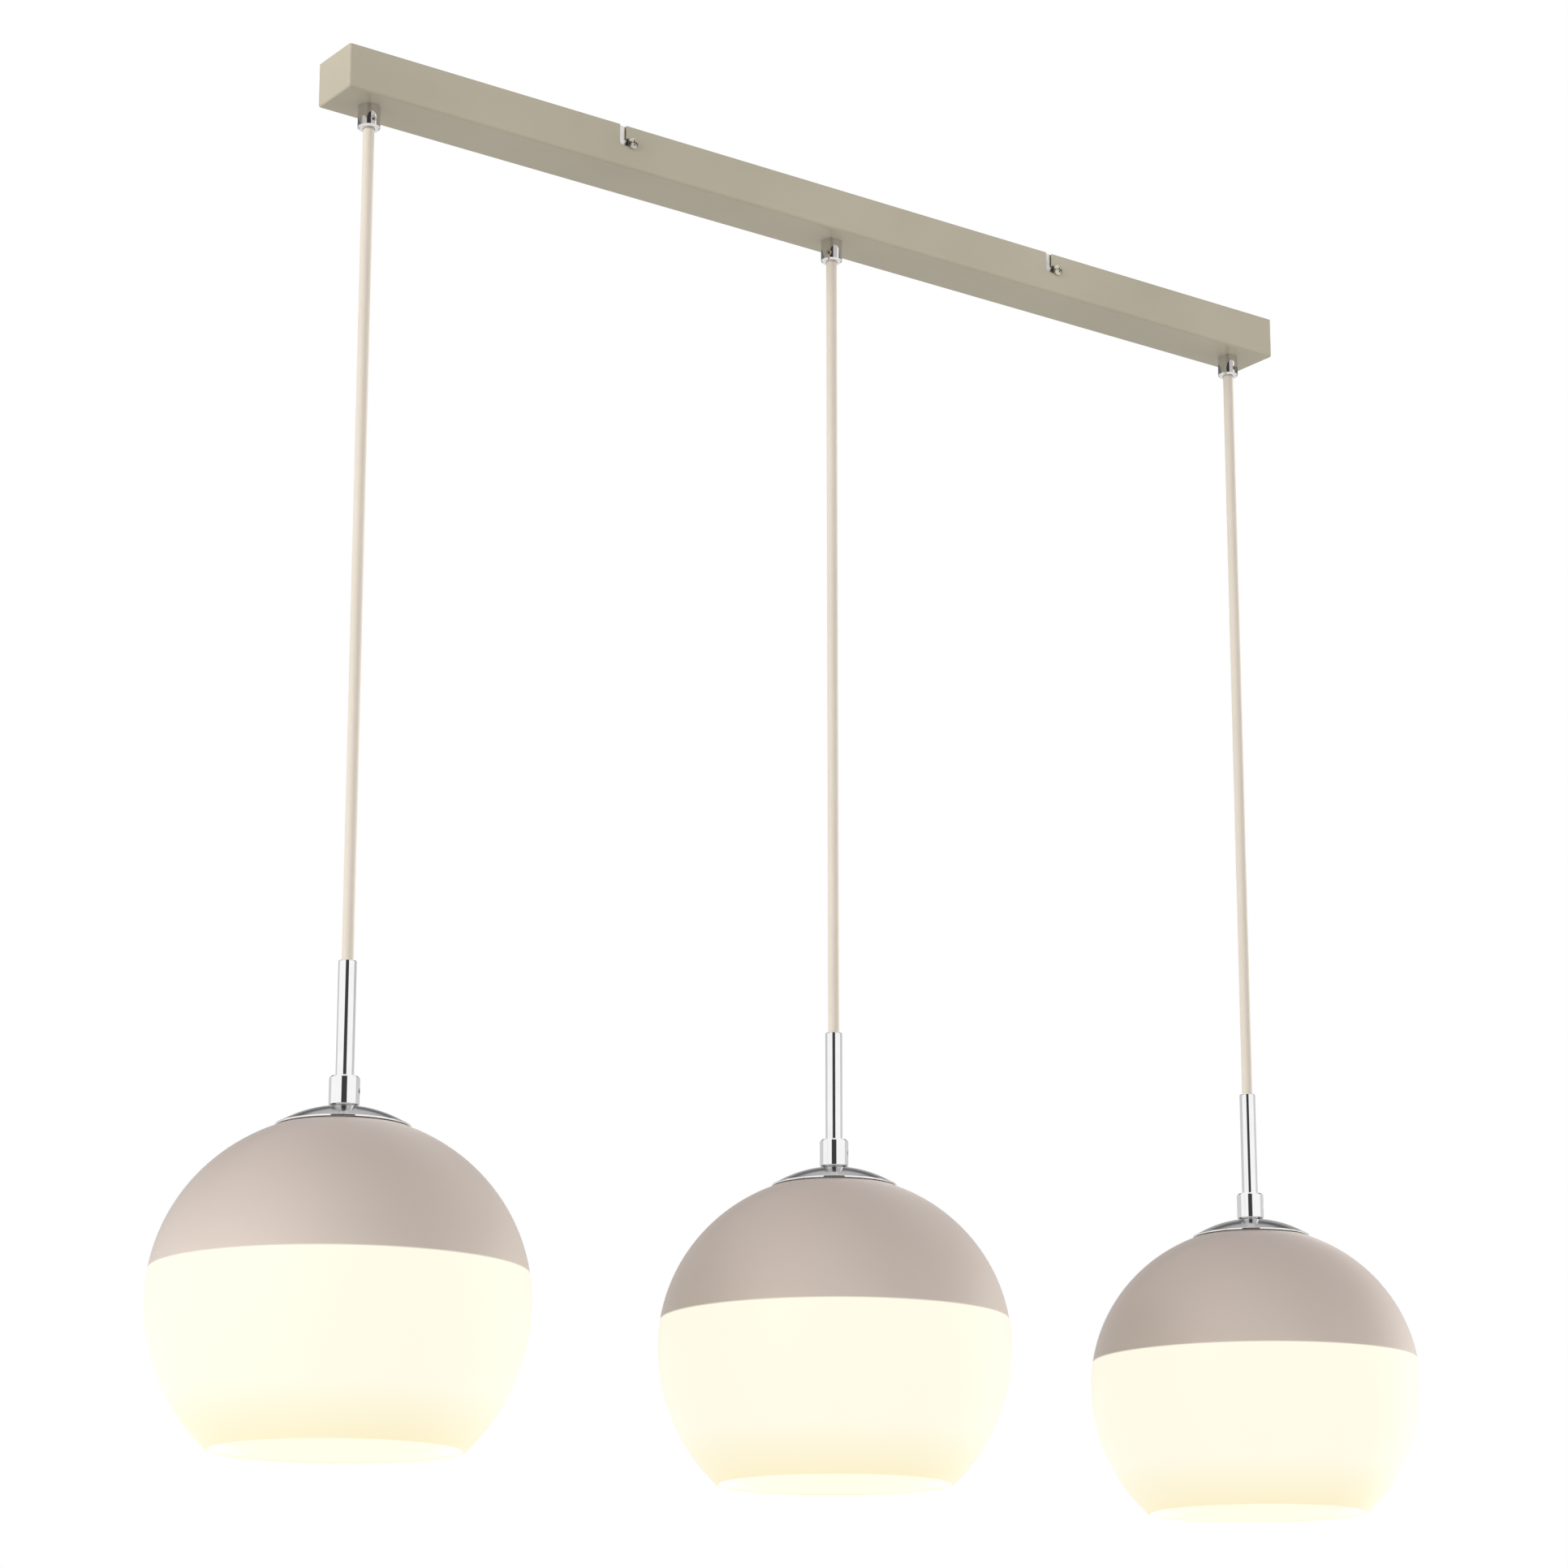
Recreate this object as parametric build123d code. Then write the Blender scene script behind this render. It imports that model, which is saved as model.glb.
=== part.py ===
from build123d import *
import os
from math import acos, asin, atan, cos, radians, sin, sqrt, tan

# Linear island pendant: a painted bar that hangs on a ceiling bracket, with three
# textile cords, each carrying a two-tone glass globe with its lamp holder and bulb.
# Millimetres. +Z is up, X runs along the bar. The origin is on the ceiling plane,
# in the middle of the bar. Outlines of turned pieces are (radius, height) pairs.

# ---------------------------------------------------------------- driving sizes

# Painted bar
BAR_LENGTH = 750.0
BAR_WIDTH = 38.0
BAR_HEIGHT = 28.0
BAR_WALL = 1.0
BAR_EDGE_RADIUS = 1.6

# L-shaped slots in both long walls, with which the bar hangs on the side screws
SLOT_CENTRE_X = 174.0
SLOT_WIDTH = 5.0
SLOT_DEPTH = 11.0
SLOT_TRAVEL = 7.0

# Ceiling bracket and its screws
BRACKET_LENGTH = 560.0
BRACKET_SHEET = 1.5
BRACKET_SIDE_GAP = 0.5
BRACKET_LUG_LENGTH = 40.0
BRACKET_LUG_DEPTH = 18.0
CEILING_SLOT_SPACING = 500.0
CEILING_SLOT_WIDTH = 5.5
CEILING_SLOT_LENGTH = 16.0
CABLE_ENTRY_RADIUS = 8.0
CABLE_ENTRY_X = 55.0
SIDE_SCREW_RADIUS = 2.0
SIDE_SCREW_HEAD_RADIUS = 3.6
SIDE_SCREW_HEAD_HEIGHT = 2.4
SIDE_SCREW_LENGTH = 8.0
SCREW_HEAD_GAP = 0.1
THREAD_GAP = 0.05
CROSS_WIDTH = 0.9
CROSS_DEPTH = 1.2
CROSS_REACH_SHARE = 0.55
PAN_SHOULDER_SHARE = 0.45
DRIVER_SLOT_WIDTH = 0.6
DRIVER_SLOT_DEPTH = 0.6
SOCKET_DEPTH = 2.0

# Terminal block, its fixing and the earth point
BLOCK_CENTRE_X = 100.0
BLOCK_LENGTH = 22.0
BLOCK_WIDTH = 32.0
BLOCK_HEIGHT = 15.0
BLOCK_EDGE_RADIUS = 1.0
POLE_PITCH = 10.0
POLE_RADIUS = 2.5
POLE_WALL = 0.6
POLE_INSET = 1.0
POLE_SCREW_RADIUS = 1.4
POLE_SCREW_OFFSET = 6.0
POLE_SCREW_RECESS = 2.5
POLE_SCREW_REACH = 0.1
FIXING_RADIUS = 1.25
FIXING_HEAD_RADIUS = 2.2
FIXING_HEAD_HEIGHT = 1.6
EARTH_SCREW_X = 150.0
EARTH_SCREW_RADIUS = 2.0
EARTH_HEAD_RADIUS = 3.6
EARTH_HEAD_HEIGHT = 2.6
EARTH_TAG_RADIUS = 4.2
EARTH_TAG_SHEET = 0.8
EARTH_TONGUE_LENGTH = 8.0
EARTH_TONGUE_WIDTH = 3.0
EARTH_TONGUE_OVERLAP = 2.0
EARTH_WIRE_DIP = 1.5

# Cord, its cores and the grips under the bar
BAR_END_TO_CORD = 25.0
CORD_RADIUS = 3.5
CORD_DROP = 517.0
CORE_RADIUS = 1.0
CORE_PITCH = 2.2
CORE_BEND = 6.0
CORE_BEND_SHARE = 0.45
CORE_INSERT = 4.0
CORE_STRAIGHT = 12.0
CORE_SWEEP = 18.0
CORE_LEVEL_PITCH = 2.3
LEAST_TURN = 0.01
SIDE_CORE_PITCH = 2.5
SIDE_CORE_START = 10.5
SIDE_CORE_HEIGHT = 5.0
JACKET_ABOVE_STUD = 3.0
GRIP_RADIUS = 6.9
GRIP_LENGTH = 14.5
GRIP_CHAMFER = 1.1
GRIP_STUD_RADIUS = 5.0
GRIP_STUD_LENGTH = 9.0
GRIP_BORE_GAP = 0.3
STUD_HOLE_GAP = 0.15
GRIP_NUT_FLATS = 14.0
GRIP_NUT_HEIGHT = 3.0
GRIP_SCREW_RADIUS = 1.8
GRIP_SCREW_HEIGHT = 4.5
GRIP_SCREW_SOCKET = 1.0
GRIP_SCREW_TURNS = (-96.0, -141.0, -88.0)

# Chrome stem above each globe
STEM_RADIUS = 5.3
STEM_VISIBLE = 68.0
STEM_THREAD_LENGTH = 10.5
STEM_EDGE = 0.4
STEM_GAP = 0.05
TAIL_BELOW_STEM = 2.0
COLLAR_RADIUS = 8.9
COLLAR_HEIGHT = 17.5
COLLAR_CHAMFER = 1.0
COLLAR_SCREW_RADIUS = 2.0
COLLAR_SCREW_SOCKET = 1.1
COLLAR_SCREW_TURN = -42.0
SCREW_RECESS = 0.3

# Chrome dome cap
CAP_RADIUS = 39.0
CAP_RISE = 12.2
CAP_SHEET = 0.8
CAP_BEAD_RADIUS = 0.9

# Glass globe
GLASS_RADIUS = 109.0
GLASS_TOP_RISE = 105.5
GLASS_LOW_RISE = 113.6
GLASS_WALL = 3.0
GLASS_OPENING_DROP = 85.0
GLASS_RIM_ROUND = 1.2
GLASS_SPANS = 6
GLASS_HOLE_RADIUS = 20.6
CAP_TO_GLASS = 0.3

# Lamp holder, its shade ring and contacts
HOLDER_RADIUS = 20.0
HOLDER_WALL = 2.6
HOLDER_CHAMBER = 9.0
HOLDER_PLATE = 2.5
HOLDER_CUP_RADIUS = 14.6
FLANGE_RADIUS = 24.0
FLANGE_HEIGHT = 2.2
FLANGE_EDGE_DROP = 1.0
FLANGE_EDGE_WIDTH = 3.0
HUB_RADIUS = 9.0
HUB_HEIGHT = 4.4
SHELL_WALL = 0.4
SHELL_LENGTH = 21.0
CONTACT_RADIUS = 3.0
CONTACT_HEIGHT = 1.4
CONTACT_HEAD_RADIUS = 4.5
CONTACT_STAND = 1.0
RING_OUTER_RADIUS = 27.0
RING_HUB_RADIUS = 23.4
RING_GAP = 0.3
RING_FLANGE = 2.4
RING_HEIGHT = 7.5

# Bulb
BULB_RADIUS = 30.0
BULB_LENGTH = 104.0
BULB_NECK_RADIUS = 15.5
BULB_NECK_LENGTH = 8.0
BULB_COLLAR_HEIGHT = 3.5
BULB_FLARE_TURN = 27.0
BULB_WALL = 0.9
BASE_RADIUS = 13.2
BASE_RIDGE = 0.5
BASE_RIDGES = 6
BASE_LENGTH = 25.0
BASE_TIP_RADIUS = 4.6
BASE_TIP_HEIGHT = 3.0
CONTACT_GAP = 0.3
NECK_GAP = 1.0

# -------------------------------------------------- derived places and heights

PENDANT_SPACING = BAR_LENGTH / 2 - BAR_END_TO_CORD
PENDANT_X = (-PENDANT_SPACING, 0.0, PENDANT_SPACING)
SIDE_SCREW_X = (-SLOT_CENTRE_X + SLOT_TRAVEL / 2, SLOT_CENTRE_X + SLOT_TRAVEL / 2)
POLE_Y = (-POLE_PITCH, 0.0, POLE_PITCH)
BLOCK_TOP = -BRACKET_SHEET
BLOCK_FLOOR = BLOCK_TOP - BLOCK_HEIGHT
POLE_LEVEL = (BLOCK_TOP + BLOCK_FLOOR) / 2
FIXING_PLACE = Pos(BLOCK_CENTRE_X, POLE_PITCH / 2, 0)
TAG_UNDERSIDE = -BRACKET_SHEET - EARTH_TAG_SHEET
BAR_BOTTOM = -BAR_HEIGHT
BAR_FLOOR = BAR_BOTTOM + BAR_WALL
GRIP_BOTTOM = BAR_BOTTOM - GRIP_LENGTH
STUD_TOP = BAR_BOTTOM + GRIP_STUD_LENGTH
JACKET_TOP = STUD_TOP + JACKET_ABOVE_STUD
CORD_TOP = GRIP_BOTTOM + CORD_RADIUS
STEM_TOP = GRIP_BOTTOM - CORD_DROP
COLLAR_TOP = STEM_TOP - STEM_VISIBLE
COLLAR_BOTTOM = COLLAR_TOP - COLLAR_HEIGHT
STEM_BOTTOM = COLLAR_BOTTOM - STEM_THREAD_LENGTH
CAP_RIM = COLLAR_BOTTOM - CAP_RISE


def ellipse_height(radius, half_width, rise):
    """Height above its centre at which an ellipse of this half width and rise has this radius."""
    return rise * sqrt(1.0 - (radius / half_width) ** 2)


BEAD_PLACE = CAP_RADIUS - CAP_BEAD_RADIUS
BEAD_SEAT = ellipse_height(BEAD_PLACE, GLASS_RADIUS, GLASS_TOP_RISE)
BEAD_LEAN = atan(GLASS_TOP_RISE ** 2 * BEAD_PLACE / (GLASS_RADIUS ** 2 * BEAD_SEAT))
GLASS_CENTRE = CAP_RIM + CAP_BEAD_RADIUS - BEAD_SEAT - (CAP_BEAD_RADIUS + CAP_TO_GLASS) / cos(BEAD_LEAN)
GLASS_OPENING = GLASS_CENTRE - GLASS_OPENING_DROP
GLASS_TOP = GLASS_CENTRE + ellipse_height(FLANGE_RADIUS, GLASS_RADIUS, GLASS_TOP_RISE)
GLASS_UNDERSIDE = GLASS_CENTRE + ellipse_height(
    RING_OUTER_RADIUS, GLASS_RADIUS - GLASS_WALL, GLASS_TOP_RISE - GLASS_WALL
)
PLATE_TOP = GLASS_TOP - HOLDER_CHAMBER
CUP_TOP = PLATE_TOP - HOLDER_PLATE
CONTACT_BOTTOM = CUP_TOP - CONTACT_HEIGHT
BULB_TOP = CONTACT_BOTTOM - CONTACT_GAP
HOLDER_BOTTOM = BULB_TOP - BASE_LENGTH + NECK_GAP
CORD_BORE = CORD_RADIUS + GRIP_BORE_GAP


# -------------------------------------------------------------- general shapes

def turned(outline):
    """Solid turned about the Z axis from a closed outline of (radius, height) points."""
    return revolve(Plane.XZ * make_face(Polyline(*outline, close=True)), Axis.Z)


def sleeve(outer, inner, low, high, edge=0.0):
    """Turned tube with chamfered outer edges."""
    outline = [(inner, low), (inner, high), (outer - edge, high)]
    if edge > 0:
        outline += [(outer, high - edge), (outer, low + edge)]
        outline += [(outer - edge, low)]
    else:
        outline += [(outer, low)]
    return turned(outline)


def rod(radius, low, high):
    """Plain round rod along Z."""
    return Pos(0, 0, (low + high) / 2) * Cylinder(radius, high - low)


def radial(angle, height):
    """Place whose Z axis points outwards from the pendant's axis, at an angle in plan."""
    return Location(Plane(
        origin=(0, 0, height),
        x_dir=(0, 0, 1),
        z_dir=(cos(radians(angle)), sin(radians(angle)), 0),
    ))


def cross_recess(depth, reach):
    """Cross-shaped driver recess that is cut down from z = 0."""
    blade = Box(2 * reach, CROSS_WIDTH, depth)
    return Pos(0, 0, -depth / 2) * (blade + Rot(0, 0, 90) * blade)


def pan_screw(radius, length, head_radius, head_height):
    """Screw along Z: its shank hangs below z = 0 and its pan head stands above."""
    shoulder = head_height * PAN_SHOULDER_SHARE
    rise = head_height - shoulder
    sphere = (head_radius ** 2 + rise ** 2) / (2 * rise)
    half_turn = asin(head_radius / sphere) / 2
    middle = (sphere * sin(half_turn), head_height - sphere * (1 - cos(half_turn)))
    shank = Polyline((0, -length), (radius, -length), (radius, 0), (head_radius, 0))
    side = Line((head_radius, 0), (head_radius, shoulder))
    crown = ThreePointArc((head_radius, shoulder), middle, (0, head_height))
    closing = Line((0, head_height), (0, -length))
    body = revolve(Plane.XZ * make_face(shank + side + crown + closing), Axis.Z)
    return body - Pos(0, 0, head_height) * cross_recess(CROSS_DEPTH, head_radius * CROSS_REACH_SHARE)


def driver_slot(width):
    """Cutter for a straight driver slot into the face at z = 0, from below."""
    return Box(width, DRIVER_SLOT_WIDTH, 2 * DRIVER_SLOT_DEPTH)


def grub_screw(radius, length, socket):
    """Headless screw from z = -length up to z = 0, with a hexagon socket in its outer end."""
    depth = min(SOCKET_DEPTH, length / 2)
    return rod(radius, -length, 0) - extrude(Pos(0, 0, -depth) * RegularPolygon(socket, 6), depth)


def wire(points, radius, bend):
    """Round wire along straight runs joined by arcs, each as large as its runs allow, up to bend.

    A point that lies in line with its neighbours is left out.
    """
    corners = [Vector(*points[0])]
    radii = []
    for point, following in zip(points[1:], points[2:]):
        arriving = Vector(*point) - corners[-1]
        leaving = Vector(*following) - Vector(*point)
        turn = radians(arriving.get_angle(leaving))
        if turn > LEAST_TURN:
            corners.append(Vector(*point))
            shorter = min(arriving.length, leaving.length)
            radii.append(min(bend, CORE_BEND_SHARE * shorter / tan(turn / 2)))
    corners.append(Vector(*points[-1]))
    path = FilletPolyline(*corners, radius=radii)
    return sweep(Plane(origin=path @ 0, z_dir=path % 0) * Circle(radius), path=path)


# ------------------------------------------------------------- bar and bracket

def l_slot(centre_x):
    """Cutter for one L-shaped slot through both long walls, open at the bar's top edge."""
    leg = Pos(centre_x - SLOT_TRAVEL / 2, -SLOT_DEPTH / 2) * Rectangle(SLOT_WIDTH, SLOT_DEPTH)
    foot = Pos(centre_x, -SLOT_DEPTH) * SlotCenterToCenter(SLOT_TRAVEL, SLOT_WIDTH)
    return extrude(Plane.XZ * (leg + foot), BAR_WIDTH, both=True)


def rounded_trough(length, width, height, radius):
    """Block below z = 0 with rounded upright and bottom edges."""
    block = Pos(0, 0, -height / 2) * Box(length, width, height)
    upright = block.edges().filter_by(Axis.Z)
    bottom = block.faces().sort_by(Axis.Z)[0].edges()
    return fillet(upright + bottom, radius)


def ceiling_bar():
    """Sheet-steel bar, open at the top, with the slots and the three grip holes."""
    outside = rounded_trough(BAR_LENGTH, BAR_WIDTH, BAR_HEIGHT, BAR_EDGE_RADIUS)
    inside = rounded_trough(
        BAR_LENGTH - 2 * BAR_WALL,
        BAR_WIDTH - 2 * BAR_WALL,
        BAR_HEIGHT - BAR_WALL,
        BAR_EDGE_RADIUS - BAR_WALL,
    )
    shell = outside - inside
    for side in (-1, 1):
        shell -= l_slot(side * SLOT_CENTRE_X)
    for x in PENDANT_X:
        shell -= Pos(x, 0, BAR_BOTTOM) * Cylinder(GRIP_STUD_RADIUS + STUD_HOLE_GAP, 4 * BAR_WALL)
    return shell


def bracket_half_width():
    """Half width of the bracket over its lugs."""
    return BAR_WIDTH / 2 - BAR_WALL - BRACKET_SIDE_GAP


def ceiling_bracket():
    """Steel strap against the ceiling, with two slotted screw holes and four folded lugs."""
    half = bracket_half_width()
    strap = Pos(0, 0, -BRACKET_SHEET / 2) * Box(BRACKET_LENGTH, 2 * half, BRACKET_SHEET)
    for x in SIDE_SCREW_X:
        for side in (-1, 1):
            lug = Box(BRACKET_LUG_LENGTH, BRACKET_SHEET, BRACKET_LUG_DEPTH)
            strap += Pos(x, side * (half - BRACKET_SHEET / 2), -BRACKET_LUG_DEPTH / 2) * lug
        drill = Cylinder(SIDE_SCREW_RADIUS + THREAD_GAP, BAR_WIDTH)
        strap -= Pos(x, 0, -SLOT_DEPTH) * Rot(90, 0, 0) * drill
    for side in (-1, 1):
        slot = extrude(SlotOverall(CEILING_SLOT_LENGTH, CEILING_SLOT_WIDTH), 2 * BRACKET_SHEET, both=True)
        strap -= Pos(side * CEILING_SLOT_SPACING / 2, 0, 0) * slot
    strap -= Pos(CABLE_ENTRY_X, 0, 0) * Cylinder(CABLE_ENTRY_RADIUS, 4 * BRACKET_SHEET)
    strap -= Pos(EARTH_SCREW_X, 0, 0) * Cylinder(EARTH_SCREW_RADIUS + THREAD_GAP, 4 * BRACKET_SHEET)
    strap -= FIXING_PLACE * Cylinder(FIXING_RADIUS + THREAD_GAP, 4 * BRACKET_SHEET)
    return strap


def side_screws():
    """Four pan-head screws that stand in the slots and hold the bar up."""
    screw = pan_screw(SIDE_SCREW_RADIUS, SIDE_SCREW_LENGTH, SIDE_SCREW_HEAD_RADIUS, SIDE_SCREW_HEAD_HEIGHT)
    seat = BAR_WIDTH / 2 + SCREW_HEAD_GAP
    placed = []
    for x in SIDE_SCREW_X:
        for side in (-1, 1):
            placed.append(Pos(x, side * seat, -SLOT_DEPTH) * Rot(-90 * side, 0, 0) * screw)
    return Compound(children=placed)


# ----------------------------------------------------------- wiring in the bar

def terminal_block():
    """Three-pole connector housing under the bracket."""
    block = Pos(BLOCK_CENTRE_X, 0, POLE_LEVEL) * Box(BLOCK_LENGTH, BLOCK_WIDTH, BLOCK_HEIGHT)
    block = fillet(block.edges().filter_by(Axis.Z), BLOCK_EDGE_RADIUS)
    for y in POLE_Y:
        bore = Cylinder(POLE_RADIUS + POLE_WALL, 2 * BLOCK_LENGTH)
        block -= Pos(BLOCK_CENTRE_X, y, POLE_LEVEL) * Rot(0, 90, 0) * bore
        for side in (-1, 1):
            shaft = rod(POLE_SCREW_RADIUS + 2 * THREAD_GAP, BLOCK_FLOOR - 1, POLE_LEVEL)
            block -= Pos(BLOCK_CENTRE_X + side * POLE_SCREW_OFFSET, y, 0) * shaft
    return block - FIXING_PLACE * Cylinder(FIXING_RADIUS + THREAD_GAP, 3 * BLOCK_HEIGHT)


def pole_clamps():
    """Brass tubes of the three poles, with two clamp screws each."""
    parts = []
    screw_high = POLE_LEVEL - POLE_RADIUS + POLE_SCREW_REACH
    screw_low = BLOCK_FLOOR + POLE_SCREW_RECESS
    for y in POLE_Y:
        barrel = Cylinder(POLE_RADIUS + POLE_WALL - THREAD_GAP, BLOCK_LENGTH - 2 * POLE_INSET)
        barrel -= Cylinder(POLE_RADIUS, BLOCK_LENGTH)
        tube = Pos(BLOCK_CENTRE_X, y, POLE_LEVEL) * Rot(0, 90, 0) * barrel
        for side in (-1, 1):
            place = Pos(BLOCK_CENTRE_X + side * POLE_SCREW_OFFSET, y, 0)
            tube -= place * rod(POLE_SCREW_RADIUS + THREAD_GAP, screw_low - 1, POLE_LEVEL)
            screw = rod(POLE_SCREW_RADIUS, screw_low, screw_high)
            parts.append(place * (screw - Pos(0, 0, screw_low) * driver_slot(2 * POLE_SCREW_RADIUS)))
        parts.append(tube)
    return Compound(children=parts)


def block_fixing():
    """Screw between two poles that holds the terminal block up to the bracket."""
    shank = rod(FIXING_RADIUS, BLOCK_FLOOR, 0)
    head = rod(FIXING_HEAD_RADIUS, BLOCK_FLOOR - FIXING_HEAD_HEIGHT, BLOCK_FLOOR)
    slot = Pos(0, 0, BLOCK_FLOOR - FIXING_HEAD_HEIGHT) * driver_slot(2 * FIXING_HEAD_RADIUS)
    return FIXING_PLACE * (shank + head - slot)


def core_line(lead_x, index, level, side_run=None):
    """Route of one core: up out of the jacket, across to its pole and into the terminal block.

    The side run, a place across the bar and a height, takes it past the middle cord.
    """
    toward = 1 if lead_x < BLOCK_CENTRE_X else -1
    mouth = BLOCK_CENTRE_X - toward * BLOCK_LENGTH / 2
    start_y = (index - 1) * CORE_PITCH
    line = [(lead_x, start_y, JACKET_TOP), (lead_x, start_y, level)]
    if side_run is not None:
        line.append((lead_x + toward * 3 * CORE_SWEEP, *side_run))
        line.append((mouth - toward * (CORE_STRAIGHT + 2 * CORE_SWEEP), *side_run))
    line.append((mouth - toward * CORE_STRAIGHT, POLE_Y[index], level))
    line.append((mouth + toward * CORE_INSERT, POLE_Y[index], level))
    return line


def lead(number):
    """Cord end inside a grip, with its three cores run to the terminal block."""
    x = PENDANT_X[number]
    upper = POLE_LEVEL + CORE_LEVEL_PITCH / 2
    lower = POLE_LEVEL - CORE_LEVEL_PITCH / 2
    parts = [Pos(x, 0, 0) * rod(CORD_RADIUS, CORD_TOP, JACKET_TOP)]
    for index in range(3):
        if number == 0:
            side_run = (-SIDE_CORE_START - (2 - index) * SIDE_CORE_PITCH, BAR_FLOOR + SIDE_CORE_HEIGHT)
            line = core_line(x, index, lower, side_run)
        elif number == 1:
            line = core_line(x, index, upper)
        else:
            line = core_line(x, index, lower)
        parts.append(wire(line, CORE_RADIUS, CORE_BEND))
    return Compound(children=parts)


def earth_wire():
    """Earth lead from its pole to a ring tag under the earth screw."""
    level = POLE_LEVEL + CORE_LEVEL_PITCH / 2
    mouth = BLOCK_CENTRE_X + BLOCK_LENGTH / 2
    tag_level = TAG_UNDERSIDE + EARTH_TAG_SHEET / 2
    tag_edge = EARTH_SCREW_X - EARTH_TAG_RADIUS
    barrel_level = TAG_UNDERSIDE - CORE_RADIUS
    line = [
        (mouth - CORE_INSERT, POLE_PITCH, level),
        (mouth + CORE_STRAIGHT, POLE_PITCH, level),
        (tag_edge - CORE_STRAIGHT / 2, EARTH_WIRE_DIP, barrel_level - EARTH_WIRE_DIP),
        (tag_edge, 0, barrel_level),
    ]
    tag = Pos(EARTH_SCREW_X, 0, tag_level) * Cylinder(EARTH_TAG_RADIUS, EARTH_TAG_SHEET)
    tongue = Box(EARTH_TONGUE_LENGTH, EARTH_TONGUE_WIDTH, EARTH_TAG_SHEET)
    tag += Pos(tag_edge - EARTH_TONGUE_OVERLAP, 0, tag_level) * tongue
    tag -= Pos(EARTH_SCREW_X, 0, tag_level) * Cylinder(EARTH_SCREW_RADIUS + THREAD_GAP, 3 * EARTH_TAG_SHEET)
    return Compound(children=[tag, wire(line, CORE_RADIUS, CORE_BEND)])


def earth_screw():
    """Screw that holds the earth tag under the bracket."""
    screw = pan_screw(EARTH_SCREW_RADIUS, -TAG_UNDERSIDE, EARTH_HEAD_RADIUS, EARTH_HEAD_HEIGHT)
    return Pos(EARTH_SCREW_X, 0, TAG_UNDERSIDE) * Rot(180, 0, 0) * screw


# ---------------------------------------------------------- cord grips and cord

def cord_grip(turn):
    """Chrome grip under the bar, with a threaded stud through it and a cross hole for its screw."""
    outline = [
        (CORD_BORE, GRIP_BOTTOM),
        (GRIP_RADIUS - GRIP_CHAMFER, GRIP_BOTTOM),
        (GRIP_RADIUS, GRIP_BOTTOM + GRIP_CHAMFER),
        (GRIP_RADIUS, BAR_BOTTOM),
        (GRIP_STUD_RADIUS, BAR_BOTTOM),
        (GRIP_STUD_RADIUS, STUD_TOP),
        (CORD_BORE, STUD_TOP),
    ]
    hole = rod(GRIP_SCREW_RADIUS + THREAD_GAP, 0, 2 * GRIP_RADIUS)
    return turned(outline) - radial(turn, GRIP_BOTTOM + GRIP_SCREW_HEIGHT) * hole


def grip_screw(turn):
    """Grub screw that clamps the cord in its grip."""
    outer = GRIP_RADIUS - SCREW_RECESS
    length = outer - CORD_RADIUS - THREAD_GAP
    screw = grub_screw(GRIP_SCREW_RADIUS, length, GRIP_SCREW_SOCKET)
    return radial(turn, GRIP_BOTTOM + GRIP_SCREW_HEIGHT) * Pos(0, 0, outer) * screw


def grip_nut():
    """Hexagon nut on the stud, on the bar's floor."""
    hexagon = extrude(RegularPolygon(GRIP_NUT_FLATS / 2, 6, major_radius=False), GRIP_NUT_HEIGHT)
    return Pos(0, 0, BAR_FLOOR) * (hexagon - rod(GRIP_STUD_RADIUS + THREAD_GAP, -1, GRIP_NUT_HEIGHT + 1))


def hanging_cord():
    """Free cord from the grip's mouth to the stem, with a round top end that turns in the grip."""
    shank = rod(CORD_RADIUS, STEM_TOP, GRIP_BOTTOM)
    ball = Pos(0, 0, GRIP_BOTTOM) * Sphere(CORD_RADIUS)
    return shank + ball


def cord_tail():
    """Cord inside the stem, down into the lamp holder's chamber."""
    return rod(CORD_RADIUS, STEM_BOTTOM - TAIL_BELOW_STEM, STEM_TOP)


# ------------------------------------------------------------------- the stem

def stem_tube():
    """Slim chrome tube over the cord."""
    return sleeve(STEM_RADIUS, CORD_BORE, STEM_BOTTOM, STEM_TOP, STEM_EDGE)


def stem_collar():
    """Chrome collar round the stem, with a cross hole for its grub screw."""
    ring = sleeve(COLLAR_RADIUS, STEM_RADIUS + STEM_GAP, COLLAR_BOTTOM, COLLAR_TOP, COLLAR_CHAMFER)
    hole = rod(COLLAR_SCREW_RADIUS + THREAD_GAP, STEM_RADIUS, 2 * COLLAR_RADIUS)
    return ring - radial(COLLAR_SCREW_TURN, COLLAR_BOTTOM + COLLAR_HEIGHT / 2) * hole


def collar_screw():
    """Grub screw that clamps the collar on the stem."""
    outer = COLLAR_RADIUS - SCREW_RECESS
    screw = grub_screw(COLLAR_SCREW_RADIUS, outer - STEM_RADIUS - THREAD_GAP, COLLAR_SCREW_SOCKET)
    return radial(COLLAR_SCREW_TURN, COLLAR_BOTTOM + COLLAR_HEIGHT / 2) * Pos(0, 0, outer) * screw


def dome_height(radius, inset=0.0):
    """Height of the cap's dome at a radius, on the outside or inset below it."""
    rise = CAP_RISE - CAP_BEAD_RADIUS - CAP_SHEET / 2
    sphere = (BEAD_PLACE ** 2 + rise ** 2) / (2 * rise)
    return COLLAR_BOTTOM - sphere + sqrt((sphere - inset) ** 2 - radius ** 2)


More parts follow.
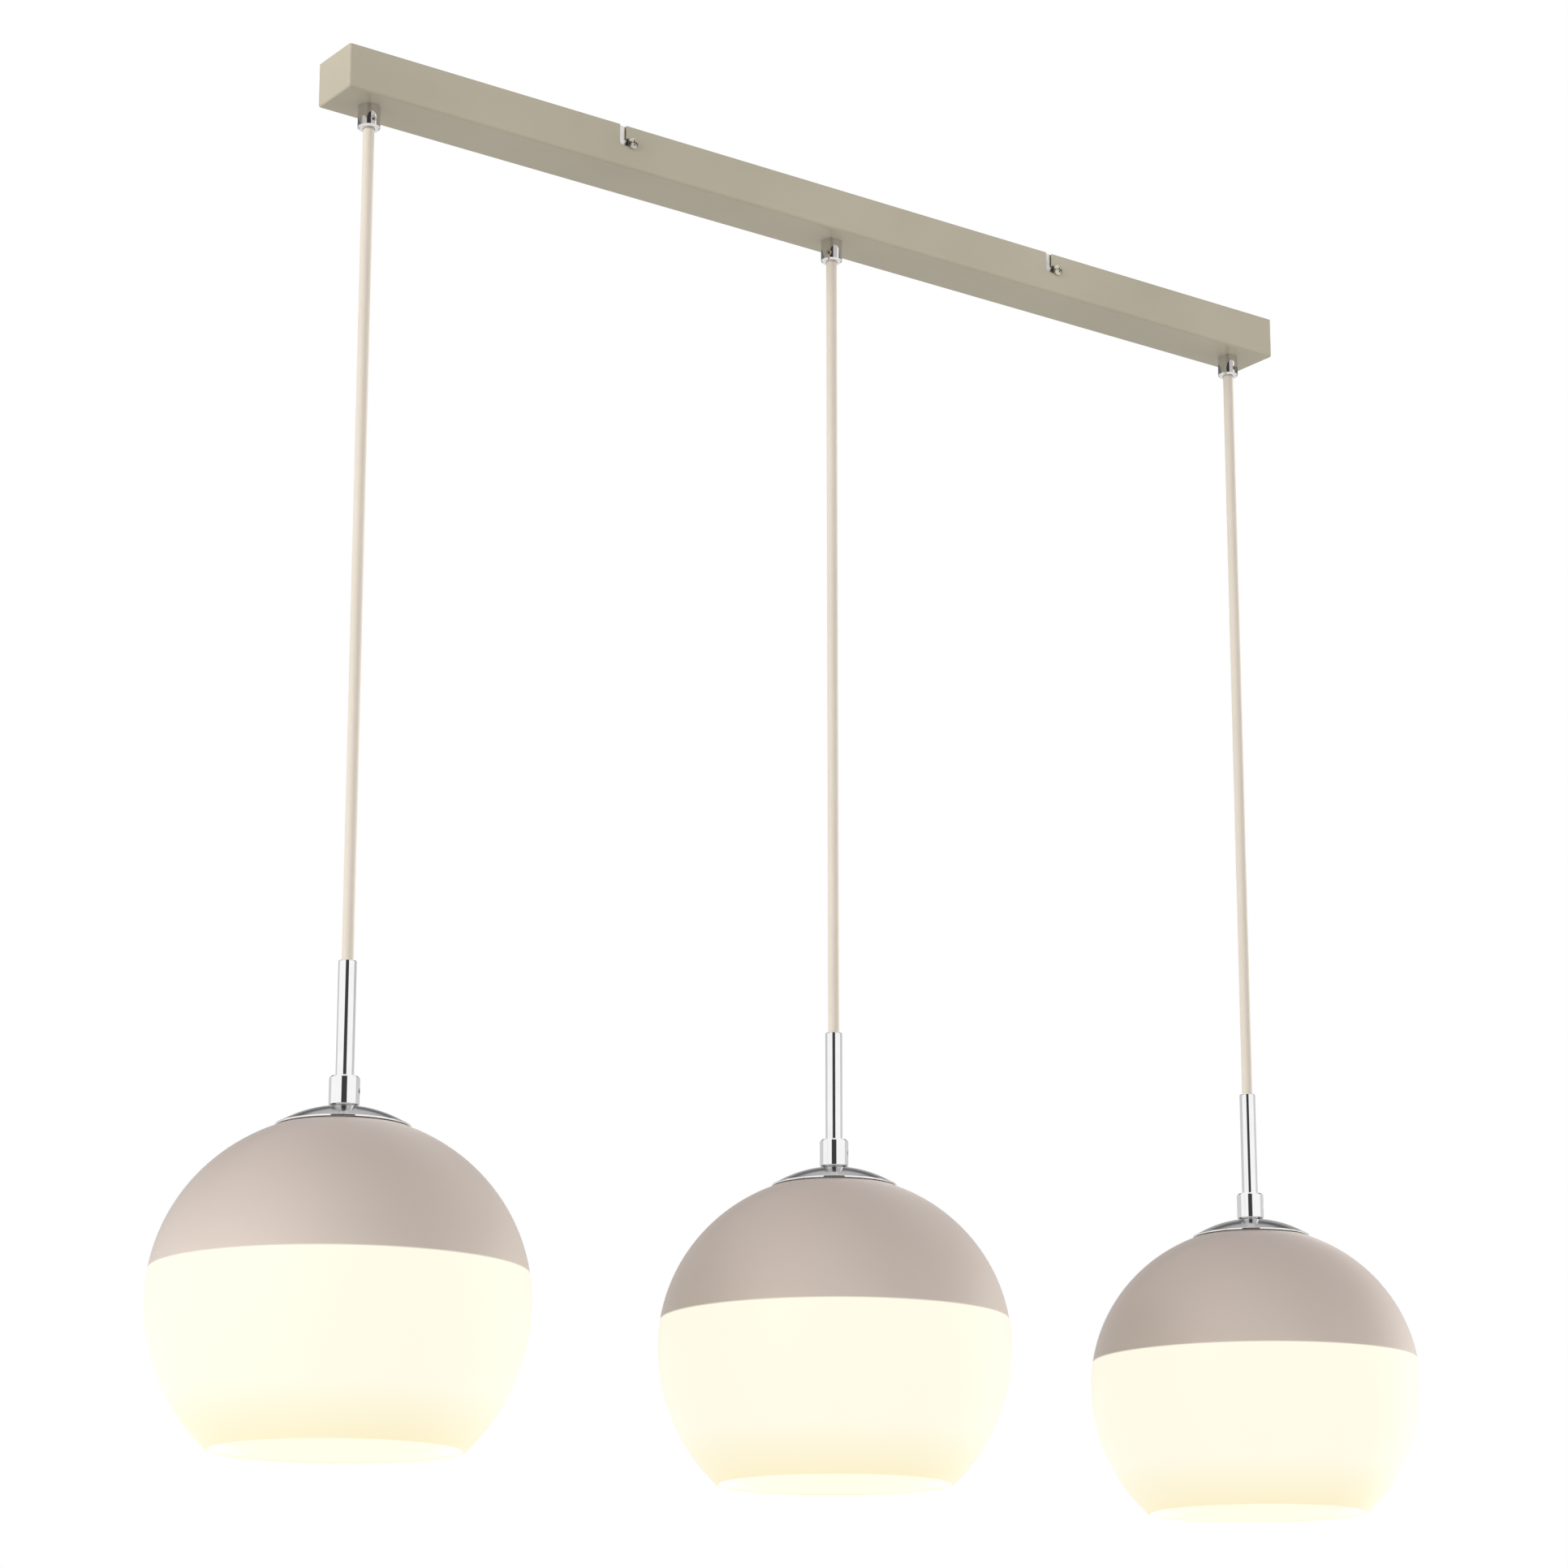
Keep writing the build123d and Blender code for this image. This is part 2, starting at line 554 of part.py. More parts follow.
def cap_dome():
    """Pressed chrome dome with a rolled bead round its rim."""
    hole = STEM_RADIUS + STEM_GAP
    edge = BEAD_PLACE
    middle = (hole + edge) / 2
    top = ThreePointArc((hole, dome_height(hole)), (middle, dome_height(middle)), (edge, dome_height(edge)))
    rim = Line(top @ 1, (edge, dome_height(edge, CAP_SHEET)))
    under = ThreePointArc(
        rim @ 1,
        (middle, dome_height(middle, CAP_SHEET)),
        (hole, dome_height(hole, CAP_SHEET)),
    )
    sheet = revolve(Plane.XZ * make_face(top + rim + under + Line(under @ 1, top @ 0)), Axis.Z)
    bead = Pos(0, 0, CAP_RIM + CAP_BEAD_RADIUS) * Torus(edge, CAP_BEAD_RADIUS)
    return sheet + bead


# ------------------------------------------------------------------ the globe

def wall_curve(inset, top_radius):
    """Curve of one face of the globe's wall, drawn in by an inset, right of the axis.

    It follows two quarter ellipses that meet at the widest place, from just above the
    rim up to top_radius.
    """
    width = GLASS_RADIUS - inset
    low_rise = GLASS_LOW_RISE - inset
    top_rise = GLASS_TOP_RISE - inset
    low_turn = -asin((GLASS_OPENING_DROP - GLASS_RIM_ROUND) / low_rise)
    top_turn = acos(top_radius / width)
    points = []
    for step in range(-GLASS_SPANS, GLASS_SPANS + 1):
        turn, rise = (low_turn, low_rise) if step < 0 else (top_turn, top_rise)
        angle = abs(step) / GLASS_SPANS * turn
        points.append((width * cos(angle), rise * sin(angle)))
    return Spline(*points)


def glass_shade():
    """Blown globe, ground flat round its fitting hole, with a rounded rim at its open bottom."""
    outer = wall_curve(0, FLANGE_RADIUS)
    inner = wall_curve(GLASS_WALL, GLASS_HOLE_RADIUS)
    flat = Polyline(outer @ 1, (GLASS_HOLE_RADIUS, (outer @ 1).Y), inner @ 1)
    rim = ThreePointArc(
        outer @ 0,
        ((outer @ 0).X / 2 + (inner @ 0).X / 2, -GLASS_OPENING_DROP),
        inner @ 0,
    )
    outline = outer + flat + inner + rim
    return Pos(0, 0, GLASS_CENTRE) * revolve(Plane.XZ * make_face(outline), Axis.Z)


# ------------------------------------------------------------ the lamp holder

def holder_cap():
    """Top of the lamp holder: the flange on the glass and the threaded hub round the stem."""
    outline = [
        (STEM_RADIUS + STEM_GAP, GLASS_TOP),
        (FLANGE_RADIUS, GLASS_TOP),
        (FLANGE_RADIUS, GLASS_TOP + FLANGE_HEIGHT - FLANGE_EDGE_DROP),
        (FLANGE_RADIUS - FLANGE_EDGE_WIDTH, GLASS_TOP + FLANGE_HEIGHT),
        (HUB_RADIUS, GLASS_TOP + FLANGE_HEIGHT),
        (HUB_RADIUS, GLASS_TOP + HUB_HEIGHT),
        (STEM_RADIUS + STEM_GAP, GLASS_TOP + HUB_HEIGHT),
    ]
    return turned(outline)


def holder_body():
    """Insulating body: a chamber for the cord's cores above, a cup for the bulb's base below."""
    chamber = HOLDER_RADIUS - HOLDER_WALL
    outline = [
        (CONTACT_RADIUS, CUP_TOP),
        (HOLDER_CUP_RADIUS, CUP_TOP),
        (HOLDER_CUP_RADIUS, HOLDER_BOTTOM),
        (HOLDER_RADIUS, HOLDER_BOTTOM),
        (HOLDER_RADIUS, GLASS_TOP),
        (chamber, GLASS_TOP),
        (chamber, PLATE_TOP),
        (CONTACT_RADIUS, PLATE_TOP),
    ]
    return turned(outline)


def screw_shell():
    """Brass shell in the cup, round the bulb's thread."""
    outer = HOLDER_CUP_RADIUS - THREAD_GAP
    return sleeve(outer, outer - SHELL_WALL, CUP_TOP - SHELL_LENGTH, CUP_TOP)


def centre_contact():
    """Sprung centre contact: a stem through the plate and a round head below it."""
    outline = [
        (0, CONTACT_BOTTOM),
        (CONTACT_HEAD_RADIUS, CONTACT_BOTTOM),
        (CONTACT_HEAD_RADIUS, CUP_TOP),
        (CONTACT_RADIUS - THREAD_GAP, CUP_TOP),
        (CONTACT_RADIUS - THREAD_GAP, PLATE_TOP + CONTACT_STAND),
        (0, PLATE_TOP + CONTACT_STAND),
    ]
    return turned(outline)


def shade_ring():
    """Threaded ring that clamps the glass from below."""
    bore = HOLDER_RADIUS + RING_GAP
    top = GLASS_UNDERSIDE - RING_GAP
    outline = [
        (bore, top),
        (RING_OUTER_RADIUS, top),
        (RING_OUTER_RADIUS, top - RING_FLANGE),
        (RING_HUB_RADIUS, top - RING_FLANGE),
        (RING_HUB_RADIUS, top - RING_HEIGHT),
        (bore, top - RING_HEIGHT),
    ]
    return turned(outline)


# ------------------------------------------------------------------- the bulb

def bulb_base():
    """Screw base with ridges and a tip contact, closed at its lower end."""
    pitch = (BASE_LENGTH - BASE_TIP_HEIGHT) / (BASE_RIDGES + 1)
    shoulder = BULB_TOP - BASE_TIP_HEIGHT
    outline = [(0, BULB_TOP), (BASE_TIP_RADIUS, BULB_TOP), (BASE_RADIUS - 2 * BASE_RIDGE, shoulder)]
    for ridge in range(BASE_RIDGES):
        height = shoulder - (ridge + 0.5) * pitch
        outline += [(BASE_RADIUS - BASE_RIDGE, height + pitch / 3), (BASE_RADIUS, height)]
        outline += [(BASE_RADIUS - BASE_RIDGE, height - pitch / 3)]
    outline += [(BASE_RADIUS - BASE_RIDGE, BULB_TOP - BASE_LENGTH), (0, BULB_TOP - BASE_LENGTH)]
    return turned(outline)


def bulb_outline(inset):
    """Closed outline of the bulb's glass, drawn in by an inset: neck, flare and round nose."""
    centre = BULB_TOP - BULB_LENGTH + BULB_RADIUS
    radius = BULB_RADIUS - inset
    neck_radius = BULB_NECK_RADIUS - inset
    neck_top = BULB_TOP - BASE_LENGTH
    flare = radians(BULB_FLARE_TURN)
    shoulder = (radius * cos(flare), centre + radius * sin(flare))
    side = (radius * cos(radians(45)), centre - radius * sin(radians(45)))
    neck = Polyline(
        (BASE_RADIUS - BASE_RIDGE - inset, neck_top),
        (neck_radius, neck_top - BULB_COLLAR_HEIGHT),
        (neck_radius, neck_top - BULB_NECK_LENGTH),
        shoulder,
    )
    nose = ThreePointArc(shoulder, side, (0, centre - radius))
    closing = Polyline(nose @ 1, (0, neck_top), neck @ 0)
    return make_face(neck + nose + closing)


def bulb_glass():
    """Hollow glass bulb under the base."""
    wall = bulb_outline(0.0) - bulb_outline(BULB_WALL)
    return revolve(Plane.XZ * wall, Axis.Z)


# ------------------------------------------------------------------- assembly

def fixed_nodes():
    """Nodes of the bracket, the bar and the wiring, by name."""
    nodes = {
        "ceiling_bracket": ceiling_bracket(),
        "side_screws": side_screws(),
        "terminal_block": terminal_block(),
        "pole_clamps": pole_clamps(),
        "block_fixing": block_fixing(),
        "earth_wire": earth_wire(),
        "earth_screw": earth_screw(),
        "ceiling_bar": ceiling_bar(),
        "grip_nuts": Compound(children=[Pos(x, 0, 0) * grip_nut() for x in PENDANT_X]),
    }
    for number, x in enumerate(PENDANT_X):
        turn = GRIP_SCREW_TURNS[number]
        nodes[f"cord_grip_{number + 1}"] = Pos(x, 0, 0) * cord_grip(turn)
        nodes[f"grip_screw_{number + 1}"] = Pos(x, 0, 0) * grip_screw(turn)
        nodes[f"lead_{number + 1}"] = lead(number)
    return nodes


PENDANT_PIECES = {
    "cord": hanging_cord,
    "cord_tail": cord_tail,
    "stem_tube": stem_tube,
    "stem_collar": stem_collar,
    "collar_screw": collar_screw,
    "cap_dome": cap_dome,
    "glass_shade": glass_shade,
    "holder_cap": holder_cap,
    "holder_body": holder_body,
    "screw_shell": screw_shell,
    "centre_contact": centre_contact,
    "shade_ring": shade_ring,
    "bulb_base": bulb_base,
    "bulb_glass": bulb_glass,
}


def main():
    """Write every node to its own STEP file."""
    os.makedirs("parts", exist_ok=True)
    nodes = fixed_nodes()
    for name, make in PENDANT_PIECES.items():
        piece = make()
        for number, x in enumerate(PENDANT_X):
            nodes[f"{name}_{number + 1}"] = Pos(x, 0, 0) * piece
    for name, shape in nodes.items():
        export_step(shape, f"parts/{name}.step")
    print(len(nodes), "nodes; globe centre", round(GLASS_CENTRE, 2), "opening", round(GLASS_OPENING, 2))


main()
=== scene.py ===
import logging
import math
from dataclasses import dataclass, field
from enum import Enum

import bmesh
import bpy
import numpy as np
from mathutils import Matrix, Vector


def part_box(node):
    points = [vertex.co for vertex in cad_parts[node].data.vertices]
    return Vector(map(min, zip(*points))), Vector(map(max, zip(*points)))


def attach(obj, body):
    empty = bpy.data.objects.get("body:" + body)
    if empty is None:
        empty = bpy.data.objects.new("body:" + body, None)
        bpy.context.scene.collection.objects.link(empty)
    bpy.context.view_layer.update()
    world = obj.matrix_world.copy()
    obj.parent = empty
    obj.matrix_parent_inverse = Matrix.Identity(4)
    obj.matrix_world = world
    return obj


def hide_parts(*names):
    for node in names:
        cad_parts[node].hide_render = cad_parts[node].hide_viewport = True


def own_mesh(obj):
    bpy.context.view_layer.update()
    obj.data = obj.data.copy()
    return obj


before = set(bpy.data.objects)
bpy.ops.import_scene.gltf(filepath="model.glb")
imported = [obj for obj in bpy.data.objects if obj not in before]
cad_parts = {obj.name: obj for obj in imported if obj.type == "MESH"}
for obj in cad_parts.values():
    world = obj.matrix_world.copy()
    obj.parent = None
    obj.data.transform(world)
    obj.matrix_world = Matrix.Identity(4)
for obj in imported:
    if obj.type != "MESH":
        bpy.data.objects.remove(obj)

# Linear island pendant: a painted bar, three textile cords and three two-tone glass globes.
# Lengths are metres in the part's own frame: the ceiling is z = 0 and X runs along the bar.

LOG = logging.getLogger("pendant")
Triple = tuple[float, float, float]
Colour = Triple
Stops = tuple[tuple[float, Colour], ...]
Sockets = dict[str | int, object]
PENDANTS = (1, 2, 3)
FRAME_PIXELS = 1932

# A noise lies between these two values nearly everywhere, around the middle one.
NOISE_LOW, NOISE_MIDDLE, NOISE_HIGH = 0.3, 0.5, 0.7

# Points closer than this become one, and edges sharper than this show as edges.
WELD = 1e-7
CREASE_DEGREES = 30.0

# A rounded corner takes at most this share of a side. One more point lies a step further on,
# at most the second share of the side, and keeps the side's shading flat.
CORNER_SHARE = 0.4
FLAT_STEP = 0.0003
FLAT_SHARE = 0.08


def linear(red: int, green: int, blue: int) -> Colour:
    """Linear colour of an 8-bit screen colour, by the sRGB curve.

    Args:
        red: Red, 0 to 255.
        green: Green, 0 to 255.
        blue: Blue, 0 to 255.

    Returns:
        The three channels as a shader takes them.
    """
    screen = np.array([red, green, blue]) / 255.0
    value = np.where(screen <= 0.04045, screen / 12.92, ((screen + 0.055) / 1.055) ** 2.4)
    return tuple(float(channel) for channel in value)


def toned(colour: Colour, factor: float) -> Colour:
    """Darker or lighter form of a colour: each channel times the factor, at most 1."""
    return tuple(min(1.0, factor * channel) for channel in colour)


# ---- shader graphs

class Space(Enum):
    """Coordinates that a pattern follows."""

    OBJECT = "Object"
    UV = "UV"


class Wire:
    """Output socket of a graph's node. Arithmetic on it adds Math nodes."""

    def __init__(self, graph: "Graph", socket: bpy.types.NodeSocket) -> None:
        """Keeps the graph and the socket that the wire comes from."""
        self.graph = graph
        self.socket = socket

    def math(self, operation: str, *others: "Wire | float", clamp: bool = False) -> "Wire":
        """Adds a Math node whose first value is this wire and whose others follow."""
        return self.graph.math(operation, self, *others, clamp=clamp)

    def __add__(self, other: "Wire | float") -> "Wire":
        """Sum."""
        return self.math("ADD", other)

    def __radd__(self, other: float) -> "Wire":
        """Sum with a number on the left."""
        return self.math("ADD", other)

    def __sub__(self, other: "Wire | float") -> "Wire":
        """Difference."""
        return self.math("SUBTRACT", other)

    def __rsub__(self, other: float) -> "Wire":
        """Difference from a number on the left."""
        return self.graph.math("SUBTRACT", other, self)

    def __mul__(self, other: "Wire | float") -> "Wire":
        """Product."""
        return self.math("MULTIPLY", other)

    def __rmul__(self, other: float) -> "Wire":
        """Product with a number on the left."""
        return self.math("MULTIPLY", other)

    def __pow__(self, other: float) -> "Wire":
        """Power."""
        return self.math("POWER", other)

    def __abs__(self) -> "Wire":
        """Size without its sign."""
        return self.math("ABSOLUTE")

    def wave(self, turns: float) -> "Wire":
        """Sine of this value, with so many turns per unit."""
        return (self * (2 * math.pi * turns)).math("SINE")

    def ramp(self, low: float, high: float) -> "Wire":
        """Straight ramp that is 0 at low and 1 at high, clamped outside."""
        return (self - low).math("DIVIDE", high - low, clamp=True)

    def spread(self) -> "Wire":
        """This noise, stretched to the whole way from 0 to 1."""
        return self.ramp(NOISE_LOW, NOISE_HIGH)

    def drift(self, amount: float) -> "Wire":
        """This noise, moved to lie around 0 and multiplied."""
        return amount * (self - NOISE_MIDDLE)


class Graph:
    """Node graph of a material or world."""

    def __init__(self, tree: bpy.types.NodeTree) -> None:
        """Starts an empty graph in a node tree."""
        self.tree = tree
        tree.nodes.clear()

    def node(
        self,
        kind: str,
        settings: dict[str, object] | None = None,
        inputs: Sockets | None = None,
    ) -> bpy.types.Node:
        """Adds any node.

        Args:
            kind: The node's type.
            settings: Its properties, set first. "stops" gives a ramp's (place, colour) pairs.
            inputs: Values or wires of its sockets, by name or number.

        Returns:
            The node.
        """
        made = self.tree.nodes.new(kind)
        for key, value in (settings or {}).items():
            if key == "stops":
                self._set_stops(made, value)
            else:
                setattr(made, key, value)
        for key, value in (inputs or {}).items():
            if isinstance(value, Wire):
                self.tree.links.new(value.socket, made.inputs[key])
            else:
                made.inputs[key].default_value = value
        return made

    @staticmethod
    def _set_stops(made: bpy.types.Node, stops: Stops) -> None:
        """Puts the stops of a colour ramp in place.

        Args:
            made: The ramp's node.
            stops: Place and colour of each stop, from 0 up.
        """
        elements = made.color_ramp.elements
        while len(elements) < len(stops):
            elements.new(0.5)
        for element, (place, colour) in zip(elements, stops):
            element.position = place
            element.color = (*colour, 1.0)

    def out(self, made: bpy.types.Node, output: str | int = 0) -> Wire:
        """Wire from a node's output."""
        return Wire(self, made.outputs[output])

    def math(self, operation: str, *values: "Wire | float", clamp: bool = False) -> Wire:
        """Adds a Math node with these values, its result kept between 0 and 1 by clamp."""
        settings = {"operation": operation, "use_clamp": clamp}
        return self.out(self.node("ShaderNodeMath", settings, dict(enumerate(values))))

    def place(self, space: Space) -> Wire:
        """Coordinates in one of the spaces."""
        return self.out(self.node("ShaderNodeTexCoord"), space.value)

    def split(self, vector: Wire) -> tuple[Wire, Wire, Wire]:
        """The three numbers of a vector."""
        made = self.node("ShaderNodeSeparateXYZ", inputs={0: vector})
        return self.out(made, 0), self.out(made, 1), self.out(made, 2)

    def noise(self, place: Wire, scale: float, detail: float = 2.0, roughness: float = 0.5) -> Wire:
        """Cloudy noise at so many cells per metre."""
        inputs = {"Vector": place, "Scale": scale, "Detail": detail, "Roughness": roughness}
        return self.out(self.node("ShaderNodeTexNoise", inputs=inputs), 0)

    def stretch(self, place: Wire, scale: Triple) -> Wire:
        """Coordinates scaled by their own amount along each axis."""
        return self.out(self.node("ShaderNodeMapping", inputs={"Vector": place, "Scale": scale}))

    def mix(self, factor: "Wire | float", first: "Wire | Colour", second: "Wire | Colour") -> Wire:
        """Colour between two colours.

        Args:
            factor: How much of the second colour shows, 0 to 1.
            first: Colour where the factor is 0.
            second: Colour where the factor is 1.

        Returns:
            The mixed colour's wire.
        """
        inputs: Sockets = {0: factor}
        for socket, colour in ((6, first), (7, second)):
            inputs[socket] = colour if isinstance(colour, Wire) else (*colour, 1.0)
        return self.out(self.node("ShaderNodeMix", {"data_type": "RGBA"}, inputs), 2)

    def bump(self, height: Wire, distance: float, strength: float = 1.0) -> Wire:
        """Normal that follows a height between 0 and 1, of so many metres."""
        inputs = {"Height": height, "Distance": distance, "Strength": strength}
        return self.out(self.node("ShaderNodeBump", inputs=inputs))


# ---- finishes

@dataclass(frozen=True)
class Finish:
    """Base of every finish: a named material that each finish fills in its own way."""

    name: str

    def surface(self, graph: Graph) -> Sockets:
        """Values and wires of the Principled shader."""
        raise NotImplementedError

    def material(self) -> bpy.types.Material:
        """Builds the finish, under a name that no material of the CAD has.

        Returns:
            The material, made once and then reused under its name.
        """
        label = f"finish_{self.name}"
        made = bpy.data.materials.get(label)
        if made is None:
            made = bpy.data.materials.new(label)
            made.use_nodes = True
            graph = Graph(made.node_tree)
            shader = graph.node("ShaderNodeBsdfPrincipled", inputs=self.surface(graph))
            graph.node("ShaderNodeOutputMaterial", inputs={"Surface": graph.out(shader)})
        return made


@dataclass(frozen=True)
class SatinPaint(Finish):
    """Powder paint: an even colour with faint clouds and a fine orange-peel skin."""

    colour: Colour = linear(193, 185, 165)
    roughness: float = 0.34
    cloud_cells: float = 9.0
    speck_cells: float = 400.0
    peel_cells: float = 900.0
    peel_depth: float = 0.00003

    def surface(self, graph: Graph) -> Sockets:
        """Colour with broad clouds, roughness with fine ones too, and the peel as a bump.

        Args:
            graph: The material's graph.

        Returns:
            The shader's values and wires.
        """
        place = graph.place(Space.OBJECT)
        clouds = graph.noise(place, self.cloud_cells, 3.0)
        specks = graph.noise(place, self.speck_cells)
        peel = graph.noise(place, self.peel_cells)
        dark, light = toned(self.colour, 0.93), toned(self.colour, 1.05)
        return {
            "Base Color": graph.mix(clouds.spread(), dark, light),
            "Roughness": self.roughness + specks.drift(0.12) + clouds.drift(0.08),
            "Normal": graph.bump(peel, self.peel_depth),
            "Specular IOR Level": 0.3,
        }


@dataclass(frozen=True)
class Chrome(Finish):
    """Polished chrome with hair-fine polishing lines and soft smudges."""

    colour: Colour = (0.93, 0.93, 0.935)
    roughness: float = 0.02
    smudge_cells: float = 60.0
    line_cells: Triple = (40.0, 40.0, 4000.0)
    line_depth: float = 0.0000004

    def surface(self, graph: Graph) -> Sockets:
        """Metal whose roughness follows smudges and lines round the axis.

        Args:
            graph: The material's graph.

        Returns:
            The shader's values and wires.
        """
        place = graph.place(Space.OBJECT)
        smudges = graph.noise(place, self.smudge_cells, 3.0)
        lines = graph.noise(graph.stretch(place, self.line_cells), 1.0)
        dull = toned(self.colour, 0.95)
        return {
            "Base Color": graph.mix(smudges.ramp(0.35, 0.75), self.colour, dull),
            "Metallic": 1.0,
            "Roughness": self.roughness + 0.04 * smudges.ramp(0.5, 0.8) + 0.015 * lines,
            "Normal": graph.bump(lines, self.line_depth),
        }


@dataclass(frozen=True)
class SpunChrome(Chrome):
    """Spun chrome, softer than the tubes': its colour is darkened as painted shade, and the rolled
    rim stays bright.
    """

    # Chrome colour darkened below the tubes': painted shade.
    colour: Colour = (0.50, 0.50, 0.505)
    roughness: float = 0.13
    rim: Colour = (0.95, 0.95, 0.955)
    rim_roughness: float = 0.03
    rim_height: float = -0.6560
    fade_above: float = 0.0002
    fade_below: float = 0.0001

    def surface(self, graph: Graph) -> Sockets:
        """The polished metal's values, with another colour and roughness on the rim.

        Args:
            graph: The material's graph.

        Returns:
            The shader's values and wires.
        """
        values = super().surface(graph)
        height = graph.split(graph.place(Space.OBJECT))[2]
        on_rim = height.ramp(self.rim_height + self.fade_above, self.rim_height - self.fade_below)
        values["Base Color"] = graph.mix(on_rim, values["Base Color"], self.rim)
        values["Roughness"] = values["Roughness"] - (self.roughness - self.rim_roughness) * on_rim
        return values


@dataclass(frozen=True)
class Braid(Finish):
    """Braided textile over a cord, in the cord's own UV: U runs round it, V along it in turns."""

    yarn: Colour = linear(237, 227, 212)
    # Darker colour between the strands: painted shade in the braid's gaps.
    shaded_gap: Colour = linear(227, 215, 200)
    strands: int = 20
    depth: float = 0.00014
    fuzz_cells: float = 5200.0
    shade_cells: Triple = (60.0, 60.0, 9.0)

    def surface(self, graph: Graph) -> Sockets:
        """Two crossing sets of strands, each over the other in turn like a chequer.

        A set's height is the size of a sine across its strands. The set that lies over the
        other is told by the sign of both sines' product.

        Args:
            graph: The material's graph.

        Returns:
            The shader's values and wires.
        """
        around, along, _ = graph.split(graph.place(Space.UV))
        rising = ((around + along) * float(self.strands)).wave(0.5)
        falling = ((around - along) * float(self.strands)).wave(0.5)
        over = (rising * falling).ramp(-0.2, 0.2)
        weave = abs(rising) * over + abs(falling) * (1.0 - over)
        place = graph.place(Space.OBJECT)
        fuzz = graph.noise(place, self.fuzz_cells)
        shade = graph.noise(graph.stretch(place, self.shade_cells), 1.0, 3.0)
        yarn = graph.mix(shade.spread(), toned(self.yarn, 0.94), self.yarn)
        return {
            # Low places of the weave take the painted shade of the gaps.
            "Base Color": graph.mix((weave + fuzz.drift(0.5)).ramp(0.05, 0.6), self.shaded_gap, yarn),
            "Roughness": 0.85 - 0.1 * weave,
            "Sheen Weight": 0.25,
            "Sheen Roughness": 0.5,
            "Normal": graph.bump(weave + 0.35 * fuzz, self.depth),
        }


@dataclass(frozen=True)
class TwoToneGlass(Finish):
    """Glass globe, sprayed grey-brown above a sharp line and lit opal below it."""

    line_height: float = -0.7405
    rim_height: float = -0.8414
    top_height: float = -0.6535
    spray: Colour = linear(209, 196, 186)
    # Darker spray colour: painted shade towards the top, also taken by the spray's grain specks.
    spray_grain_and_shade: Colour = linear(176, 162, 154)
    opal: Colour = (0.12, 0.12, 0.115)
    lit: Colour = (0.91, 0.875, 0.72)
    cream: Colour = (0.88, 0.79, 0.52)
    glow: Colour = (0.012, 0.008, 0.004)
    line_blur: float = 0.0005
    glow_reach: float = 0.030
    cream_reach: float = 0.030
    grain_cells: float = 1500.0
    grain_depth: float = 0.00001
    cloud_cells: float = 14.0
    cloud_lift: float = 0.006
    speckle: float = 0.10
    coat: float = 0.16
    coat_lost_on_opal: float = 0.06

    def surface(self, graph: Graph) -> Sockets:
        """Colour, painted shade and light by height, with the spray's grain under a glossy coat.

        Args:
            graph: The material's graph.

        Returns:
            The shader's values and wires.
        """
        place = graph.place(Space.OBJECT)
        height = graph.split(place)[2]
        grain = graph.noise(place, self.grain_cells, 3.0)
        clouds = graph.noise(place, self.cloud_cells, 3.0)
        above, below = self.line_height + self.line_blur, self.line_height - self.line_blur
        opal_part = 1.0 - height.ramp(below, above)
        # The spray darkens from the line up to the top: painted shade.
        shade_towards_top = (height + clouds.drift(self.cloud_lift)).ramp(self.line_height, self.top_height)
        spray = graph.mix(shade_towards_top, self.spray, self.spray_grain_and_shade)
        spray = graph.mix(self.speckle * grain.spread(), spray, self.spray_grain_and_shade)
        near_line = height.ramp(self.line_height + self.glow_reach, self.line_height) ** 2.0
        glow = graph.mix(near_line, (0.0, 0.0, 0.0), self.glow)
        near_rim = height.ramp(self.rim_height + self.cream_reach, self.rim_height)
        lit = graph.mix(near_rim, self.lit, self.cream)
        return {
            "Base Color": graph.mix(opal_part, spray, self.opal),
            "Roughness": 0.45 + grain.drift(0.08),
            "Specular IOR Level": 0.15,
            "Coat Weight": self.coat - self.coat_lost_on_opal * opal_part,
            "Coat Roughness": 0.24,
            "Sheen Weight": 0.4,
            "Sheen Roughness": 0.35,
            "Sheen Tint": (1.0, 0.94, 0.88, 1.0),
            "Emission Color": graph.mix(opal_part, glow, lit),
            "Emission Strength": 1.0,
            "Normal": graph.bump(grain, self.grain_depth),
        }


@dataclass(frozen=True)
class LitOpal(Finish):
    """Opal glass that a lamp shines through or on, brighter towards one height."""

    colour: Colour = (0.12, 0.12, 0.115)
    light: Colour = (0.95, 0.94, 0.71)
    dim: Colour = (0.80, 0.75, 0.56)
    edge: Colour = (0.84, 0.76, 0.50)
    bright_height: float = -0.80
    dim_height: float = -0.66
    edge_height: float = -0.8406
    edge_fade: float = 0.0006
    cloud_cells: float = 30.0
    cloud_lift: float = 0.01

    def surface(self, graph: Graph) -> Sockets:
        """Light that fades with height, creamier on the cut edge, with opal's faint clouds.

        Args:
            graph: The material's graph.

        Returns:
            The shader's values and wires.
        """
        place = graph.place(Space.OBJECT)
        height = graph.split(place)[2]
        clouds = graph.noise(place, self.cloud_cells, 3.0)
        lifted = height + clouds.drift(self.cloud_lift)
        light = graph.mix(lifted.ramp(self.bright_height, self.dim_height), self.light, self.dim)
        on_edge = height.ramp(self.edge_height, self.edge_height - self.edge_fade)
        return {
            "Base Color": graph.mix(clouds.spread(), self.colour, toned(self.colour, 0.97)),
            "Roughness": 0.24 + clouds.drift(0.1),
            "Emission Color": graph.mix(on_edge, light, self.edge),
            "Emission Strength": 1.0,
            "Normal": graph.bump(clouds, 0.0001, 0.3),
        }


